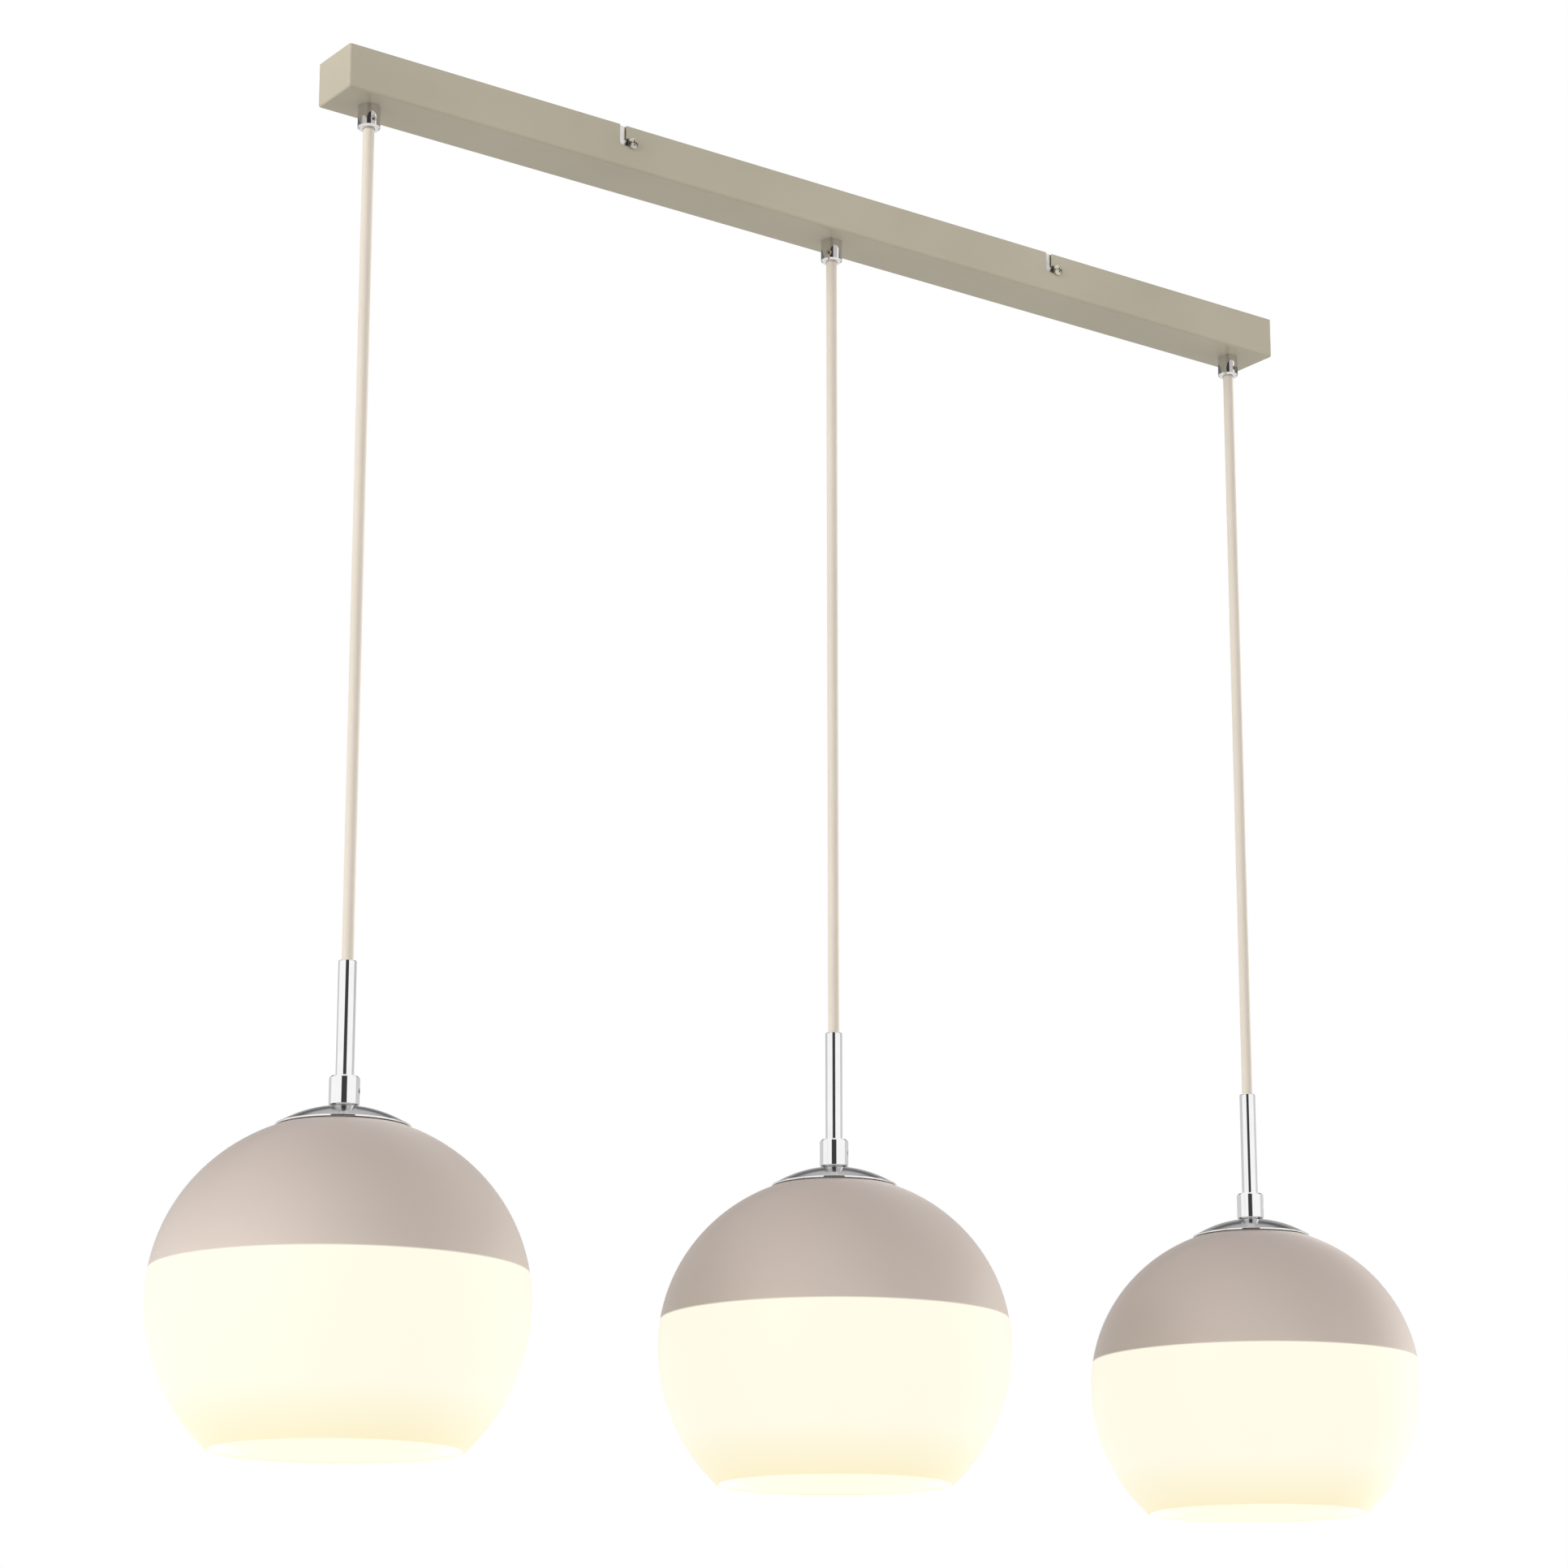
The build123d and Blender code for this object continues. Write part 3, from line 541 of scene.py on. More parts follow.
@dataclass(frozen=True)
class Moulded(Finish):
    """Moulded plastic: fine spark-eroded grain and slight flow marks."""

    colour: Colour = linear(232, 229, 222)
    roughness: float = 0.42
    grain_cells: float = 3200.0
    grain_depth: float = 0.00002
    flow_cells: Triple = (30.0, 30.0, 90.0)

    def surface(self, graph: Graph) -> Sockets:
        """Flow marks in the colour, and grain in the roughness and as a bump.

        Args:
            graph: The material's graph.

        Returns:
            The shader's values and wires.
        """
        place = graph.place(Space.OBJECT)
        grain = graph.noise(place, self.grain_cells)
        flow = graph.noise(graph.stretch(place, self.flow_cells), 1.0, 3.0)
        return {
            "Base Color": graph.mix(flow.spread(), self.colour, toned(self.colour, 0.93)),
            "Roughness": self.roughness + grain.drift(0.1),
            "Normal": graph.bump(grain, self.grain_depth),
        }


@dataclass(frozen=True)
class BareMetal(Finish):
    """Plated or drawn metal: fine drawing lines, and crystals or stains in its colour."""

    colour: Colour = (0.62, 0.62, 0.61)
    stain: Colour = (0.48, 0.48, 0.47)
    roughness: float = 0.32
    stain_cells: float = 110.0
    line_cells: Triple = (20.0, 1500.0, 1500.0)
    line_depth: float = 0.00001

    def surface(self, graph: Graph) -> Sockets:
        """Metal whose colour follows stains, with its lines as roughness and bump.

        Args:
            graph: The material's graph.

        Returns:
            The shader's values and wires.
        """
        place = graph.place(Space.OBJECT)
        stains = graph.noise(place, self.stain_cells, 4.0)
        lines = graph.noise(graph.stretch(place, self.line_cells), 1.0)
        return {
            "Base Color": graph.mix(stains.ramp(0.42, 0.72), self.colour, self.stain),
            "Metallic": 1.0,
            "Roughness": self.roughness + stains.drift(0.18) + lines.drift(0.12),
            "Normal": graph.bump(lines, self.line_depth),
        }


# ---- shapes

def grid_mesh(
    name: str,
    points: np.ndarray,
    close_rows: bool = False,
    uv: np.ndarray | None = None,
) -> bpy.types.Mesh:
    """Mesh of quads between neighbouring points of a grid whose columns close on themselves.

    Args:
        name: The mesh's name.
        points: Array of rows, columns and three coordinates.
        close_rows: Whether the last row joins the first.
        uv: Rows, columns + 1 and two coordinates, or nothing.

    Returns:
        The mesh, with smooth faces that point outwards.
    """
    rows, columns = points.shape[:2]
    row = np.arange(rows if close_rows else rows - 1)[:, None]
    column = np.arange(columns)[None, :]
    next_row, next_column = (row + 1) % rows, (column + 1) % columns
    corners = np.stack(
        [row * columns + column, row * columns + next_column,
         next_row * columns + next_column, next_row * columns + column], axis=-1,
    ).reshape(-1, 4)
    mesh = bpy.data.meshes.new(name)
    mesh.vertices.add(rows * columns)
    mesh.vertices.foreach_set("co", points.astype(np.float32).ravel())
    mesh.loops.add(corners.size)
    mesh.loops.foreach_set("vertex_index", corners.astype(np.int32).ravel())
    mesh.polygons.add(len(corners))
    mesh.polygons.foreach_set("loop_start", np.arange(0, corners.size, 4, dtype=np.int32))
    mesh.update(calc_edges=True)
    if uv is not None:
        places = np.stack([uv[:-1, :-1], uv[:-1, 1:], uv[1:, 1:], uv[1:, :-1]], axis=2)
        layer = mesh.uv_layers.new(name="UVMap")
        layer.data.foreach_set("uv", places.astype(np.float32).ravel())
    work = bmesh.new()
    work.from_mesh(mesh)
    bmesh.ops.remove_doubles(work, verts=work.verts, dist=WELD)
    bmesh.ops.recalc_face_normals(work, faces=work.faces)
    work.to_mesh(mesh)
    work.free()
    mesh.shade_smooth()
    mesh.set_sharp_from_angle(angle=math.radians(CREASE_DEGREES))
    return mesh


def turned(outline: np.ndarray, axis_x: float, sides: int) -> np.ndarray:
    """Grid of a turned shape: every outline point carried once round the pendant's axis.

    Args:
        outline: Radius and height pairs.
        axis_x: Place of the axis along the bar.
        sides: Points round the axis.

    Returns:
        Array of outline points, sides and three coordinates.
    """
    angle = np.linspace(0.0, 2 * np.pi, sides, endpoint=False)[None, :]
    radius, height = outline[:, :1], outline[:, 1:]
    return np.stack(
        [axis_x + radius * np.cos(angle), radius * np.sin(angle), height + 0.0 * angle], axis=-1,
    )


def pairs(first: np.ndarray, second: np.ndarray) -> np.ndarray:
    """Array of pairs from two arrays, such as an outline's radius and height."""
    return np.stack([first, second], axis=-1)


def arc(height: float, radius: float, start: float, end: float, count: int) -> np.ndarray:
    """Points of an arc round a centre on the axis, from angle to angle in degrees from level."""
    angle = np.radians(np.linspace(start, end, count))
    return pairs(radius * np.cos(angle), height + radius * np.sin(angle))


def rounded(corners: list[tuple[float, float]], radius: float, steps: int = 4) -> np.ndarray:
    """Closed outline with every corner rounded by a quadratic curve that starts a radius away.

    Args:
        corners: The outline's corners in order.
        radius: Distance from each corner at which its curve starts.
        steps: Spans of each curve.

    Returns:
        Radius and height pairs.
    """
    corner = np.array(corners)
    back, ahead = np.roll(corner, 1, axis=0) - corner, np.roll(corner, -1, axis=0) - corner
    side_in = np.linalg.norm(back, axis=1, keepdims=True)
    side_out = np.linalg.norm(ahead, axis=1, keepdims=True)
    start = corner + back * np.minimum(radius / side_in, CORNER_SHARE)
    end = corner + ahead * np.minimum(radius / side_out, CORNER_SHARE)
    enter = start + back * np.minimum(FLAT_STEP / side_in, FLAT_SHARE)
    leave = end + ahead * np.minimum(FLAT_STEP / side_out, FLAT_SHARE)
    t = np.linspace(0.0, 1.0, steps + 1)[None, :, None]
    bend = 2 * t * (1 - t) * corner[:, None]
    curve = (1 - t) ** 2 * start[:, None] + bend + t ** 2 * end[:, None]
    return np.concatenate([enter[:, None], curve, leave[:, None]], axis=1).reshape(-1, 2)


@dataclass(frozen=True)
class Span:
    """Place of a turned CAD node: its axis along the bar, its heights and its radius."""

    x: float
    low: float
    high: float
    radius: float

    @classmethod
    def of(cls, node: str) -> "Span":
        """Reads the span of a CAD node from the frame."""
        low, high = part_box(node)
        return cls((low.x + high.x) / 2, low.z, high.z, min(high.x - low.x, high.y - low.y) / 2)


def put(
    name: str, mesh: bpy.types.Mesh, finish: Finish, body: str, node: str,
) -> bpy.types.Object:
    """Adds a piece that stands for a CAD node.

    Args:
        name: The piece's name.
        mesh: Its mesh, in the part's frame.
        finish: Its finish.
        body: The body that it rides on.
        node: The CAD node that it replaces.

    Returns:
        The piece's object.
    """
    piece = bpy.data.objects.new(name, mesh)
    bpy.context.scene.collection.objects.link(piece)
    mesh.materials.append(finish.material())
    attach(piece, body)
    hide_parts(node)
    LOG.info("%s rides on %s", name, body)
    return piece


def dress(node: str, finish: Finish) -> None:
    """Gives a CAD node its finish.

    Args:
        node: Its name.
        finish: The finish.
    """
    made = finish.material()
    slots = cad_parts[node].material_slots
    if not slots:
        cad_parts[node].data.materials.append(made)
    for slot in slots:
        slot.material = made
    LOG.info("%s dressed as %s", node, finish.name)


# ---- sub-assemblies

BAR_PAINT = SatinPaint("bar_paint")
CHROME = Chrome("polished_chrome")
CAP_CHROME = SpunChrome("spun_chrome_painted_shade")
# The tubes' chrome with a darker colour: painted shade for the grips close under the bar.
SHADED_GRIP_CHROME = Chrome("grip_chrome_painted_shade", colour=(0.72, 0.71, 0.71))
BRAID = Braid("braided_cord")
ZINC = BareMetal("zinc_plate", (0.76, 0.74, 0.72), (0.62, 0.60, 0.58))
SCREW_STEEL = BareMetal("screw_steel", (0.62, 0.58, 0.50), (0.46, 0.43, 0.37), roughness=0.22)
BRASS = BareMetal("bare_brass", (0.79, 0.62, 0.31), (0.58, 0.43, 0.20), roughness=0.24)
BASE_METAL = BareMetal("rolled_base", (0.80, 0.79, 0.76), (0.66, 0.64, 0.60), roughness=0.22)
HOLDER = Moulded("holder_plastic")
BLOCK = Moulded("block_plastic", colour=linear(240, 239, 234), roughness=0.5)
CORES = Moulded("core_insulation", colour=linear(206, 198, 188), roughness=0.55)
EARTH = Moulded("earth_insulation", colour=linear(120, 158, 60), roughness=0.45)
GLOBE_OUTSIDE = TwoToneGlass("two_tone_glass")
GLOBE_INSIDE = LitOpal("opal_inside")
LIT_BULB = LitOpal("lit_bulb", light=(1.06, 1.01, 0.86), dim=(0.90, 0.83, 0.62))


@dataclass(frozen=True)
class BarAssembly:
    """Bar, bracket, wiring and grips: the CAD nodes at the ceiling, each with its finish."""

    finishes: dict[str, Finish] = field(default_factory=lambda: {
        "ceiling_bar": BAR_PAINT,
        "ceiling_bracket": ZINC,
        "side_screws": SCREW_STEEL,
        "terminal_block": BLOCK,
        "pole_clamps": BRASS,
        "block_fixing": SCREW_STEEL,
        "earth_wire": EARTH,
        "earth_screw": SCREW_STEEL,
        "grip_nuts": ZINC,
    })

    def build(self) -> None:
        """Dresses the fixed nodes, the grips, their screws and the cord ends."""
        for node, finish in self.finishes.items():
            dress(node, finish)
        for number in PENDANTS:
            dress(f"cord_grip_{number}", SHADED_GRIP_CHROME)
            dress(f"grip_screw_{number}", SCREW_STEEL)
            dress(f"lead_{number}", CORES)


@dataclass(frozen=True)
class HangingCord:
    """Free braided cord of one pendant, from the grip's mouth down to the stem."""

    number: int
    radius: float = 0.0035
    lift: float = 0.30
    sides: int = 32
    row_pitch: float = 0.004
    ball_points: int = 9
    end_gap: float = 0.0001
    control_places: tuple[float, ...] = (0.0, 0.35, 0.7, 1.0)
    spline_steps: int = 24

    def route(self) -> tuple[np.ndarray, np.ndarray]:
        """Start at the grip's mouth and end at the stem's top edge."""
        grip, stem = Span.of(f"cord_grip_{self.number}"), Span.of(f"stem_tube_{self.number}")
        return np.array([grip.x, 0.0, grip.low]), np.array([grip.x, 0.0, stem.high])

    def line(self) -> np.ndarray:
        """Reads the cord's line from the NURBS spline that its control places give.

        Returns:
            Array of points and three coordinates, from the grip down.
        """
        start, end = self.route()
        spots = start + (end - start) * np.array(self.control_places)[:, None]
        curve = bpy.data.curves.new("cord_route", "CURVE")
        curve.dimensions = "3D"
        curve.resolution_u = self.spline_steps
        spline = curve.splines.new("NURBS")
        spline.points.add(len(spots) - 1)
        spline.points.foreach_set("co", np.column_stack([spots, np.ones(len(spots))]).ravel())
        spline.order_u = 3
        spline.use_endpoint_u = True
        holder = bpy.data.objects.new("cord_route", curve)
        flat = bpy.data.meshes.new_from_object(holder)
        points = np.empty(len(flat.vertices) * 3)
        flat.vertices.foreach_get("co", points)
        bpy.data.objects.remove(holder)
        bpy.data.curves.remove(curve)
        bpy.data.meshes.remove(flat)
        return points.reshape(-1, 3)

    def mesh(self, line: np.ndarray) -> bpy.types.Mesh:
        """Tube along the line: a half ball that turns in the grip, even rings and a flat end.

        Args:
            line: Points of the cord's line, from the grip down.

        Returns:
            The cord's mesh, which ends a hair above the stem.
        """
        top, end = line[0], line[-1][2] + self.end_gap
        rows = max(2, round((top[2] - end) / self.row_pitch))
        ball = arc(top[2], self.radius, 90.0, 0.0, self.ball_points)
        shank = pairs(np.full(rows, self.radius), np.linspace(top[2], end, rows + 1)[1:])
        outline = np.concatenate([ball, shank, [[0.0, end]]])
        points = turned(outline, top[0], self.sides)
        around = np.linspace(0.0, 1.0, self.sides + 1)[None, :]
        along = (top[2] - outline[:, 1:]) / (2 * np.pi * self.radius)
        uv = np.stack(np.broadcast_arrays(around, along), axis=-1)
        return grid_mesh(f"cord_{self.number}_braid", points, uv=uv)

    def build(self) -> None:
        line = self.line()
        node = f"cord_{self.number}"
        piece = put(f"hanging_{node}", self.mesh(line), BRAID, node, node)
        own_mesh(piece)
        dress(f"cord_tail_{self.number}", CORES)


@dataclass(frozen=True)
class Stem:
    """Chrome tube, collar and dome cap of one pendant."""

    number: int
    sides: int = 96
    bore: float = 0.0038
    edge: float = 0.0004
    collar_bore: float = 0.00535
    sheet: float = 0.0008
    dome_points: int = 40
    bead: float = 0.0006
    rim_width: float = 0.0010
    rim_round: float = 0.0004

    @staticmethod
    def ring(inner: float, outer: float, low: float, high: float, edge: float) -> np.ndarray:
        """Outline of a ring of square section with rounded edges."""
        return rounded([(inner, low), (outer, low), (outer, high), (inner, high)], edge)

    def tube(self) -> np.ndarray:
        """Outline of the slim tube, with rounded ends."""
        span = Span.of(f"stem_tube_{self.number}")
        return self.ring(self.bore, span.radius, span.low, span.high, self.edge)

    def cap(self) -> np.ndarray:
        """Outline of the dome: a spherical sheet from the collar's bore to a rolled rim.

        Both faces are arcs round one centre, so that the sheet is even. The sphere's radius
        is (edge² + rise²) / (2 · rise).

        Returns:
            Radius and height pairs: the top face, the rim and the underside.
        """
        span = Span.of(f"cap_dome_{self.number}")
        collar = Span.of(f"stem_collar_{self.number}")
        edge = span.radius - self.bead
        rise = collar.low - span.low - self.bead - self.sheet / 2
        sphere = (edge ** 2 + rise ** 2) / (2 * rise)
        inner = span.radius - self.rim_width
        radius = np.linspace(self.collar_bore, inner, self.dome_points)
        top, under = (
            pairs(radius, collar.low - sphere + np.sqrt(ball ** 2 - radius ** 2))
            for ball in (sphere, sphere - self.sheet)
        )
        rim = self.ring(inner, span.radius, span.low, span.low + 2 * self.bead, self.rim_round)
        # The rim's points start at its top inner corner, next to the sheet.
        start = int(np.argmax(rim[:, 1] - rim[:, 0]))
        rim = np.roll(rim, -start, axis=0)[::-1]
        return np.concatenate([top, rim, under[::-1]])

    def build(self) -> None:
        """Adds the tube and the cap, and dresses the collar and its screw."""
        body = f"pendant_{self.number}"
        pieces = (("stem_tube", self.tube(), CHROME), ("cap_dome", self.cap(), CAP_CHROME))
        for part, outline, finish in pieces:
            node = f"{part}_{self.number}"
            mesh = grid_mesh(f"chrome_{node}", turned(outline, Span.of(node).x, self.sides), True)
            put(f"chrome_{node}", mesh, finish, body, node)
        dress(f"stem_collar_{self.number}", CHROME)
        dress(f"collar_screw_{self.number}", SCREW_STEEL)


@dataclass(frozen=True)
class Globe:
    """Two-tone glass globe of one pendant."""

    number: int
    sides: int = 144
    top_rise: float = 0.1055
    low_rise: float = 0.1136
    wall: float = 0.003
    opening_drop: float = 0.085
    rim_round: float = 0.0012
    hole_radius: float = 0.0206
    flat_radius: float = 0.0240
    upper_points: int = 44
    lower_points: int = 34
    rim_points: int = 14

    def face(self, inset: float, top_radius: float) -> np.ndarray:
        """One face of the wall: a quarter ellipse above its widest place and one below.

        Args:
            inset: Distance from the outer face.
            top_radius: Radius at which the face ends at the top.

        Returns:
            Radius and height pairs from the top down.
        """
        span = Span.of(f"glass_shade_{self.number}")
        centre = span.low + self.opening_drop
        width = span.radius - inset
        top, low = self.top_rise - inset, self.low_rise - inset
        mouth = math.asin((self.opening_drop - self.rim_round) / low)
        above = np.linspace(math.acos(top_radius / width), 0.0, self.upper_points)[:-1]
        below = np.linspace(0.0, -mouth, self.lower_points)
        upper = pairs(width * np.cos(above), centre + top * np.sin(above))
        lower = pairs(width * np.cos(below), centre + low * np.sin(below))
        return np.concatenate([upper, lower])

    def outline(self) -> tuple[np.ndarray, int]:
        """Closed outline: the outer face, the round rim, the inner face and the flat top.

        Returns:
            Radius and height pairs, and how many are the outer face with half the rim.
        """
        low = Span.of(f"glass_shade_{self.number}").low
        outer = self.face(0.0, self.flat_radius)
        inner = self.face(self.wall, self.hole_radius)[::-1]
        start, end = outer[-1], inner[0]
        turn = np.linspace(0.0, np.pi, self.rim_points)[1:-1, None]
        middle = (start + end) / 2
        rim = middle + (start - middle) * np.cos(turn)
        rim[:, 1:] -= (middle[1] - low) * np.sin(turn)
        flat = np.array([[self.hole_radius, outer[0, 1]]])
        return np.concatenate([outer, rim, inner, flat]), len(outer) + len(rim) // 2

    def build(self) -> None:
        """Adds the globe with the sprayed face outside and opal inside."""
        node = f"glass_shade_{self.number}"
        outline, outer_count = self.outline()
        mesh = grid_mesh(f"globe_{self.number}", turned(outline, Span.of(node).x, self.sides), True)
        piece = put(f"glass_globe_{self.number}", mesh, GLOBE_OUTSIDE,
                    f"pendant_{self.number}", node)
        mesh.materials.append(GLOBE_INSIDE.material())
        face_row = np.arange(len(mesh.polygons)) // self.sides
        mesh.polygons.foreach_set("material_index", (face_row >= outer_count - 1).astype(np.int32))
        mesh.update()
        LOG.info("%s has %d faces", piece.name, len(mesh.polygons))


@dataclass(frozen=True)
class LampHolder:
    """Lamp holder, shade ring and bulb of one pendant."""

    number: int
    sides: int = 64
    neck_radius: float = 0.0155
    neck_length: float = 0.008
    collar_radius: float = 0.0127
    collar_height: float = 0.0035
    flare_turn: float = 27.0
    ball_points: int = 40

    def bulb(self) -> np.ndarray:
        """Outline of the bulb's glass: collar, neck, a soft flare and a round nose.

        Returns:
            Radius and height pairs from the collar down.
        """
        span = Span.of(f"bulb_glass_{self.number}")
        centre = span.low + span.radius
        ball = arc(centre, span.radius, self.flare_turn, -90.0, self.ball_points)
        neck = np.array([
            [0.0, span.high],
            [self.collar_radius, span.high],
            [self.neck_radius, span.high - self.collar_height],
            [self.neck_radius, span.high - self.neck_length],
        ])
        outline = np.concatenate([neck, ball])
        outline[-1, 0] = 0.0
        return outline

    def build(self) -> None:
        """Adds the bulb's glass and dresses the holder's nodes."""
        node = f"bulb_glass_{self.number}"
        points = turned(self.bulb(), Span.of(node).x, self.sides)
        put(f"opal_bulb_{self.number}", grid_mesh(f"bulb_{self.number}", points), LIT_BULB,
            f"bulb_{self.number}", node)
        for name in ("holder_cap", "holder_body", "shade_ring"):
            dress(f"{name}_{self.number}", HOLDER)
        for name in ("screw_shell", "centre_contact"):
            dress(f"{name}_{self.number}", BRASS)
        dress(f"bulb_base_{self.number}", BASE_METAL)


# ---- studio

# Both ends of a straight wall, to either side of its middle.
ENDS = np.array([[-1.0], [1.0]])


@dataclass(frozen=True)
class Studio:
    """Pale floor, white surroundings, soft lamps, and walls that only reflections show.

    A pair of heights is a wall's lower and upper edge. Its tones are places from 0 to 1 over
    it, with their colours.
    """

    floor_height: float = -6.0
    floor_reach: float = 30.0
    floor_colour: Colour = (0.66, 0.655, 0.63)
    floor_white: float = 0.7
    floor_light: float = 1.2
    ambient: float = 0.62

    left_place: Triple = (-6.4, -0.7, 0.4)
    left_power: float = 265.0
    right_place: Triple = (6.4, -0.7, 0.4)
    right_power: float = 440.0
    side_size: float = 3.5
    front_place: Triple = (0.6, -3.6, 0.9)
    front_size: float = 2.4
    front_power: float = 3.0
    lamp_aim: Triple = (0.0, 0.0, -0.45)

    flag_share: float = 1.04
    flag_half_width: float = 0.88
    flag_half_height: float = 3.0
    flag_grey: float = 0.05

    slot_distance: float = 2.6
    slot_half_width: float = 0.5
    slot_heights: tuple[float, float] = (0.3, 2.4)
    slot_light: float = 1.15

    back_radius: float = 1.8
    back_reach: float = 82.0
    back_panels: int = 32
    back_heights: tuple[float, float] = (-0.6, 1.9)
    back_tones: Stops = (
        (0.0, (0.75, 0.75, 0.75)), (0.14, (0.64, 0.64, 0.64)), (0.22, (0.52, 0.52, 0.52)),
        (0.36, (0.44, 0.44, 0.44)), (0.39, (0.14, 0.14, 0.138)), (0.54, (0.20, 0.20, 0.20)),
        (0.62, (0.70, 0.70, 0.70)), (1.0, (0.85, 0.85, 0.85)),
    )

    drum_radius: float = 3.2
    drum_panels: int = 96
    drum_heights: tuple[float, float] = (0.35, 2.6)
    drum_tones: Stops = (
        (0.0, (0.16, 0.155, 0.15)), (0.45, (0.17, 0.165, 0.16)), (0.62, (0.36, 0.345, 0.33)),
        (0.85, (0.75, 0.72, 0.70)), (1.0, (0.65, 0.62, 0.60)),
    )

    def seen(self, graph: Graph) -> Wire:
        """Tells rays that look at a surface from rays that only light it.

        Args:
            graph: Graph of a material or of the world.

        Returns:
            1 for the rays of the camera, of gloss and of clear glass, and 0 for the others.
        """
        rays = graph.node("ShaderNodeLightPath")
        sight = graph.out(rays, "Is Camera Ray") + graph.out(rays, "Is Glossy Ray")
        return sight.math("ADD", graph.out(rays, "Is Transmission Ray"), clamp=True)

    def world(self) -> None:
        """White where it is looked at, and a soft light for everything else."""
        made = bpy.data.worlds.new("studio")
        made.use_nodes = True
        bpy.context.scene.world = made
        graph = Graph(made.node_tree)
        strength = self.ambient + (1.0 - self.ambient) * self.seen(graph)
        white = {"Color": (1.0, 1.0, 1.0, 1.0), "Strength": strength}
        light = graph.node("ShaderNodeBackground", inputs=white)
        graph.node("ShaderNodeOutputWorld", inputs={"Surface": graph.out(light)})

    def card(self, name: str, mesh: bpy.types.Mesh) -> tuple[bpy.types.Object, Graph]:
        """Surface that isn't part of the object.

        Args:
            name: Its name.
            mesh: Its mesh.

        Returns:
            Its object, and the graph of its material.
        """
        made = bpy.data.materials.new(name)
        made.use_nodes = True
        mesh.materials.append(made)
        piece = bpy.data.objects.new(name, mesh)
        bpy.context.scene.collection.objects.link(piece)
        return piece, Graph(made.node_tree)

    def wall(self, name: str, feet: np.ndarray, heights: tuple[float, float]) -> Graph:
        """Upright wall over a line of points on the ground, which shows in reflections only.

        Args:
            name: Its name.
            feet: X and Y of the line's points.
            heights: Heights of its lower and upper edges.

        Returns:
            The graph of its material.
        """
        count = len(feet)
        points = np.concatenate([np.column_stack([feet, np.full(count, z)]) for z in heights])
        left = np.arange(count - 1)
        faces = np.stack([left, left + 1, left + 1 + count, left + count], axis=-1)
        mesh = bpy.data.meshes.new(name)
        mesh.from_pydata(points.tolist(), [], faces.tolist())
        piece, graph = self.card(name, mesh)
        piece.visible_camera = False
        piece.visible_diffuse = False
        piece.visible_transmission = False
        piece.visible_shadow = False
        return graph

    def floor(self) -> None:
        """Adds the floor: matt, and mostly white where it is looked at, so shadows are faint."""
        signs = np.array([[-1, -1, 0], [1, -1, 0], [1, 1, 0], [-1, 1, 0]])
        square = self.floor_reach * signs + [0, 0, self.floor_height]
        mesh = bpy.data.meshes.new("floor")
        mesh.from_pydata(square.tolist(), [], [(0, 1, 2, 3)])
        _, graph = self.card("floor", mesh)
        matt = graph.node("ShaderNodeBsdfDiffuse", inputs={"Color": (*self.floor_colour, 1.0)})
        white = graph.node("ShaderNodeEmission", inputs={"Strength": self.floor_light})
        both = graph.node("ShaderNodeMixShader", inputs={
            0: self.seen(graph) * self.floor_white, 1: graph.out(matt), 2: graph.out(white),
        })
        graph.node("ShaderNodeOutputMaterial", inputs={"Surface": graph.out(both)})

    def shine(self, graph: Graph, colour: "Wire | Colour") -> None:
        """Gives a wall its own light.

        Args:
            graph: Graph of the wall's material.
            colour: One colour, or a wire that changes over the wall.
        """
        value = colour if isinstance(colour, Wire) else (*colour, 1.0)
        light = graph.node("ShaderNodeEmission", inputs={"Color": value})
        graph.node("ShaderNodeOutputMaterial", inputs={"Surface": graph.out(light)})

    def tones(self, graph: Graph, place: Wire, stops: Stops) -> Wire:
        """Colour at a place, 0 to 1, between these stops."""
        return graph.out(graph.node("ShaderNodeValToRGB", {"stops": stops}, {0: place}))

    def camera_flag(self, eye: np.ndarray) -> None:
        """Dark wall just behind the camera, which draws the line down the tubes.

        Args:
            eye: The camera's place.
        """
        side = np.array([-eye[1], eye[0]]) / np.hypot(*eye[:2])
        feet = eye[:2] * self.flag_share + ENDS * self.flag_half_width * side
        heights = (eye[2] - self.flag_half_height, eye[2] + self.flag_half_height)
        self.shine(self.wall("camera_flag", feet, heights), (self.flag_grey,) * 3)

    def slot_wall(self, front: np.ndarray) -> None:
        """Bright wall to the camera's right, which lights the screws in the slots.

        Args:
            front: Level direction from the object to the camera.
        """
        right = front * (-1.0, 1.0)
        along = np.array([-right[1], right[0]])
        feet = right * self.slot_distance + ENDS * self.slot_half_width * along
        self.shine(self.wall("slot_light", feet, self.slot_heights), (self.slot_light,) * 3)

    def back_wall(self, front: np.ndarray) -> None:
        """Curved wall behind the object, which shades the edges of the tubes and grips.

        Args:
            front: Level direction from the object to the camera.
        """
        reach = np.radians(np.linspace(-self.back_reach, self.back_reach, self.back_panels + 1))
        turn = math.atan2(-front[1], -front[0]) + reach
        feet = self.back_radius * pairs(np.cos(turn), np.sin(turn))
        graph = self.wall("back_wall", feet, self.back_heights)
        height = graph.split(graph.place(Space.OBJECT))[2]
        self.shine(graph, self.tones(graph, height.ramp(*self.back_heights), self.back_tones))

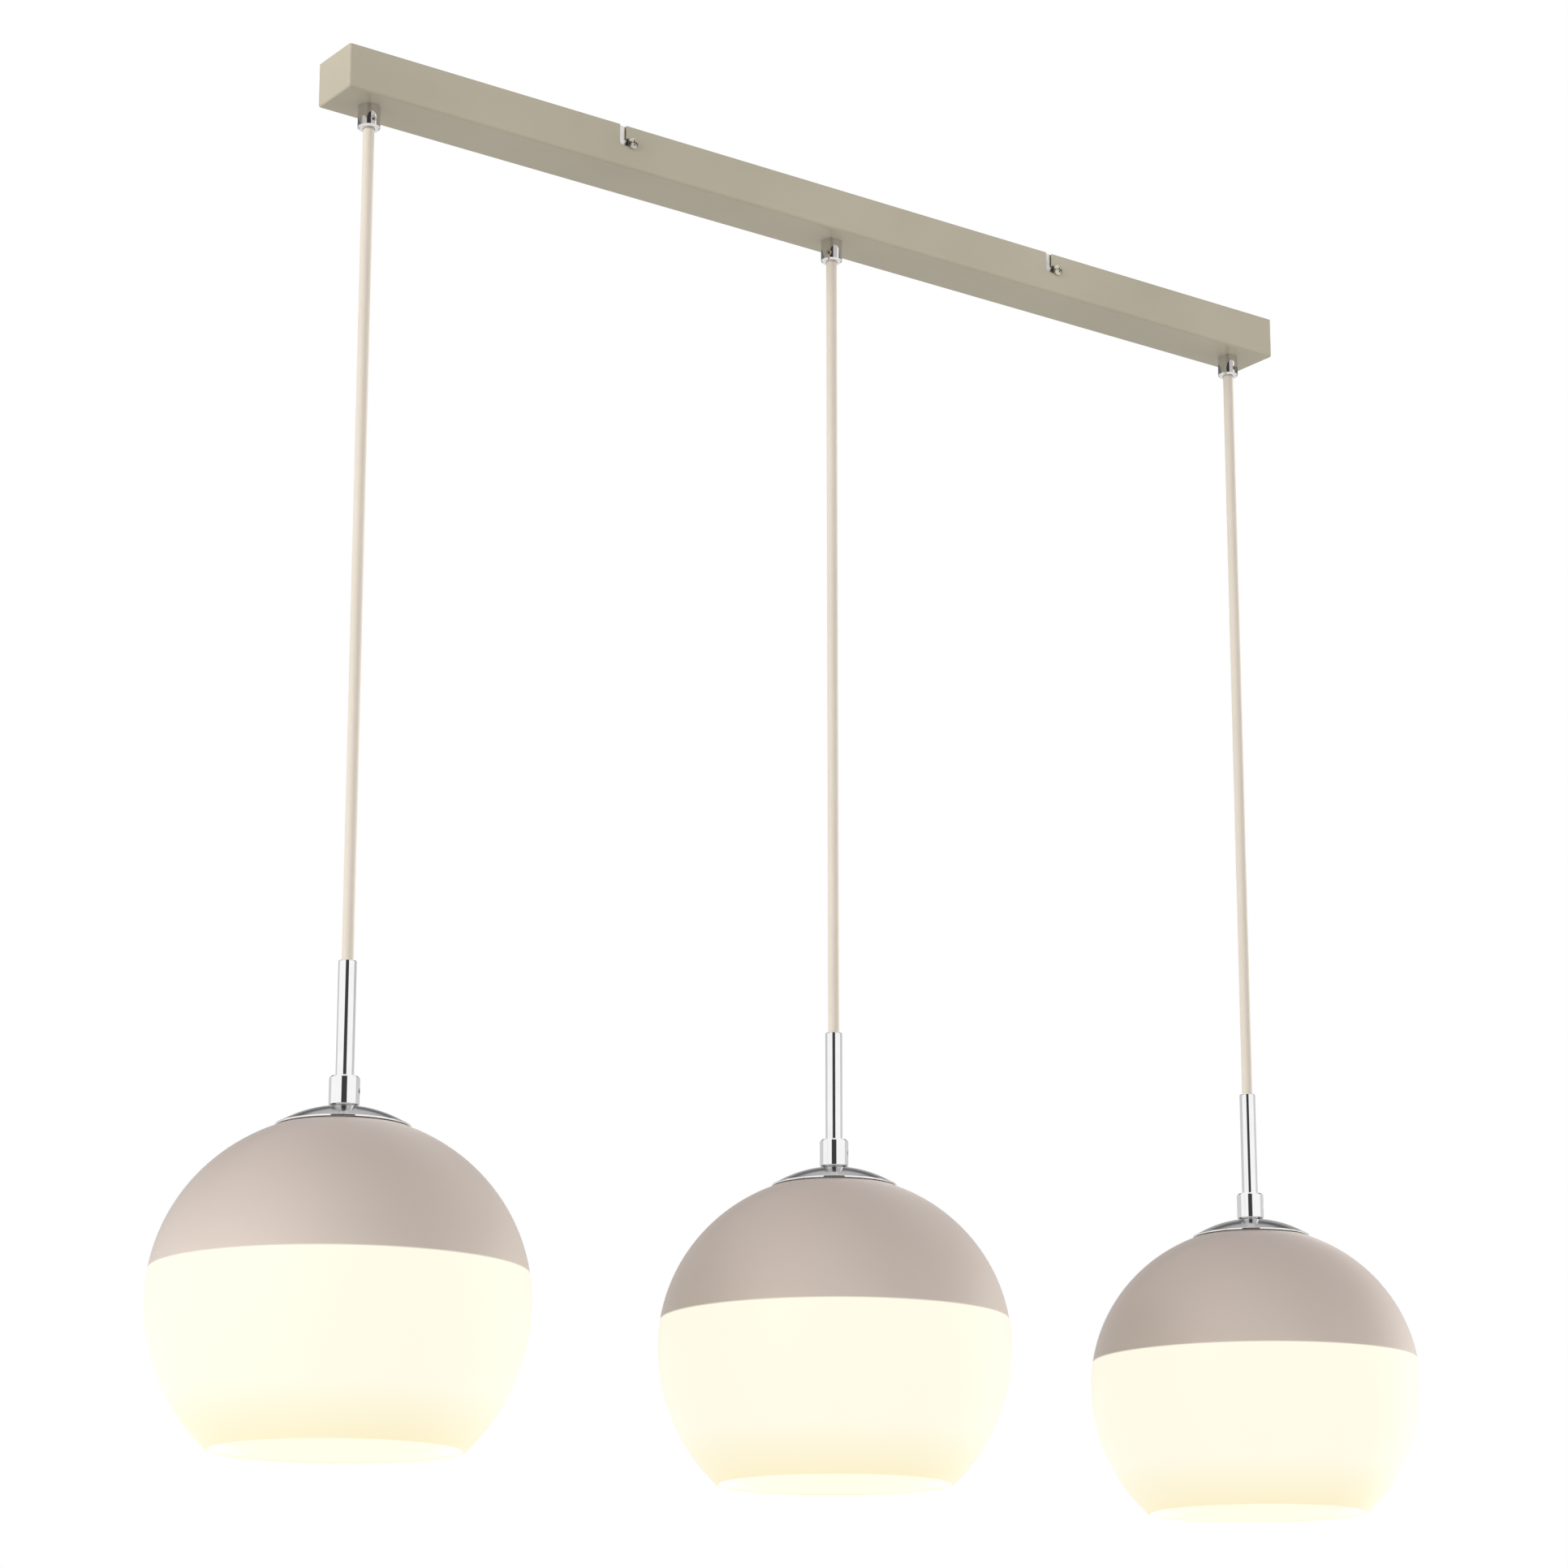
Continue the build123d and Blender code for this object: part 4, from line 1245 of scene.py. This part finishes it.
    def drum(self, front: np.ndarray) -> None:
        """Ring of wall above the object, darkest on the far side.

        Args:
            front: Level direction from the object to the camera.
        """
        turn = np.linspace(0.0, 2 * np.pi, self.drum_panels + 1)
        feet = self.drum_radius * pairs(np.cos(turn), np.sin(turn))
        graph = self.wall("drum", feet, self.drum_heights)
        facing = graph.out(graph.node("ShaderNodeVectorMath", {"operation": "DOT_PRODUCT"}, {
            0: graph.place(Space.OBJECT), 1: (*(front / self.drum_radius), 0.0),
        }), "Value")
        self.shine(graph, self.tones(graph, facing.ramp(-1.0, 1.0), self.drum_tones))

    def lamp(self, name: str, place: Triple, size: float, power: float) -> None:
        """Adds a square lamp that faces the middle of the object.

        Args:
            name: Its name.
            place: Its place.
            size: Length of its sides.
            power: Its power in watts.
        """
        data = bpy.data.lights.new(name, "AREA")
        data.size = size
        data.energy = power
        lamp = bpy.data.objects.new(name, data)
        bpy.context.scene.collection.objects.link(lamp)
        lamp.location = place
        towards = Vector(self.lamp_aim) - Vector(place)
        lamp.rotation_euler = towards.to_track_quat("-Z", "Y").to_euler()
        lamp.visible_glossy = False

    def build(self, eye: np.ndarray) -> None:
        """Adds the world, the floor, the reflected walls and the lamps.

        Args:
            eye: The camera's place.
        """
        front = eye[:2] / np.hypot(*eye[:2])
        self.world()
        self.floor()
        self.camera_flag(eye)
        self.slot_wall(front)
        self.back_wall(front)
        self.drum(front)
        self.lamp("left_lamp", self.left_place, self.side_size, self.left_power)
        self.lamp("right_lamp", self.right_place, self.side_size, self.right_power)
        self.lamp("front_lamp", self.front_place, self.front_size, self.front_power)


@dataclass(frozen=True)
class Eye:
    """Camera of the photograph, fitted to the bar's corners, the cords and the globes."""

    place: Triple = (-1.4592, -1.9517, -1.0637)
    yaw: float = 36.05
    pitch: float = 13.03
    focal_pixels: float = 4884.0
    shift: float = 0.10
    sensor_width: float = 36.0
    farthest: float = 60.0

    def build(self) -> np.ndarray:
        """Adds the camera.

        Returns:
            Its place.
        """
        data = bpy.data.cameras.new("eye")
        data.sensor_width = self.sensor_width
        data.lens = self.focal_pixels / FRAME_PIXELS * self.sensor_width
        data.shift_y = self.shift
        data.clip_end = self.farthest
        camera = bpy.data.objects.new("eye", data)
        bpy.context.scene.collection.objects.link(camera)
        camera.location = self.place
        camera.rotation_euler = (math.radians(90.0 + self.pitch), 0.0, math.radians(-self.yaw))
        bpy.context.scene.camera = camera
        return np.array(self.place)


def main() -> None:
    """Builds the studio and the pendant."""
    logging.basicConfig(level=logging.INFO, format="%(message)s")
    bpy.context.scene.view_settings.view_transform = "Standard"
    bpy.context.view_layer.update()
    eye = Eye().build()
    Studio().build(eye)
    BarAssembly().build()
    for number in PENDANTS:
        for assembly in (HangingCord(number), Stem(number), Globe(number), LampHolder(number)):
            assembly.build()


if __name__ == "__main__":
    main()
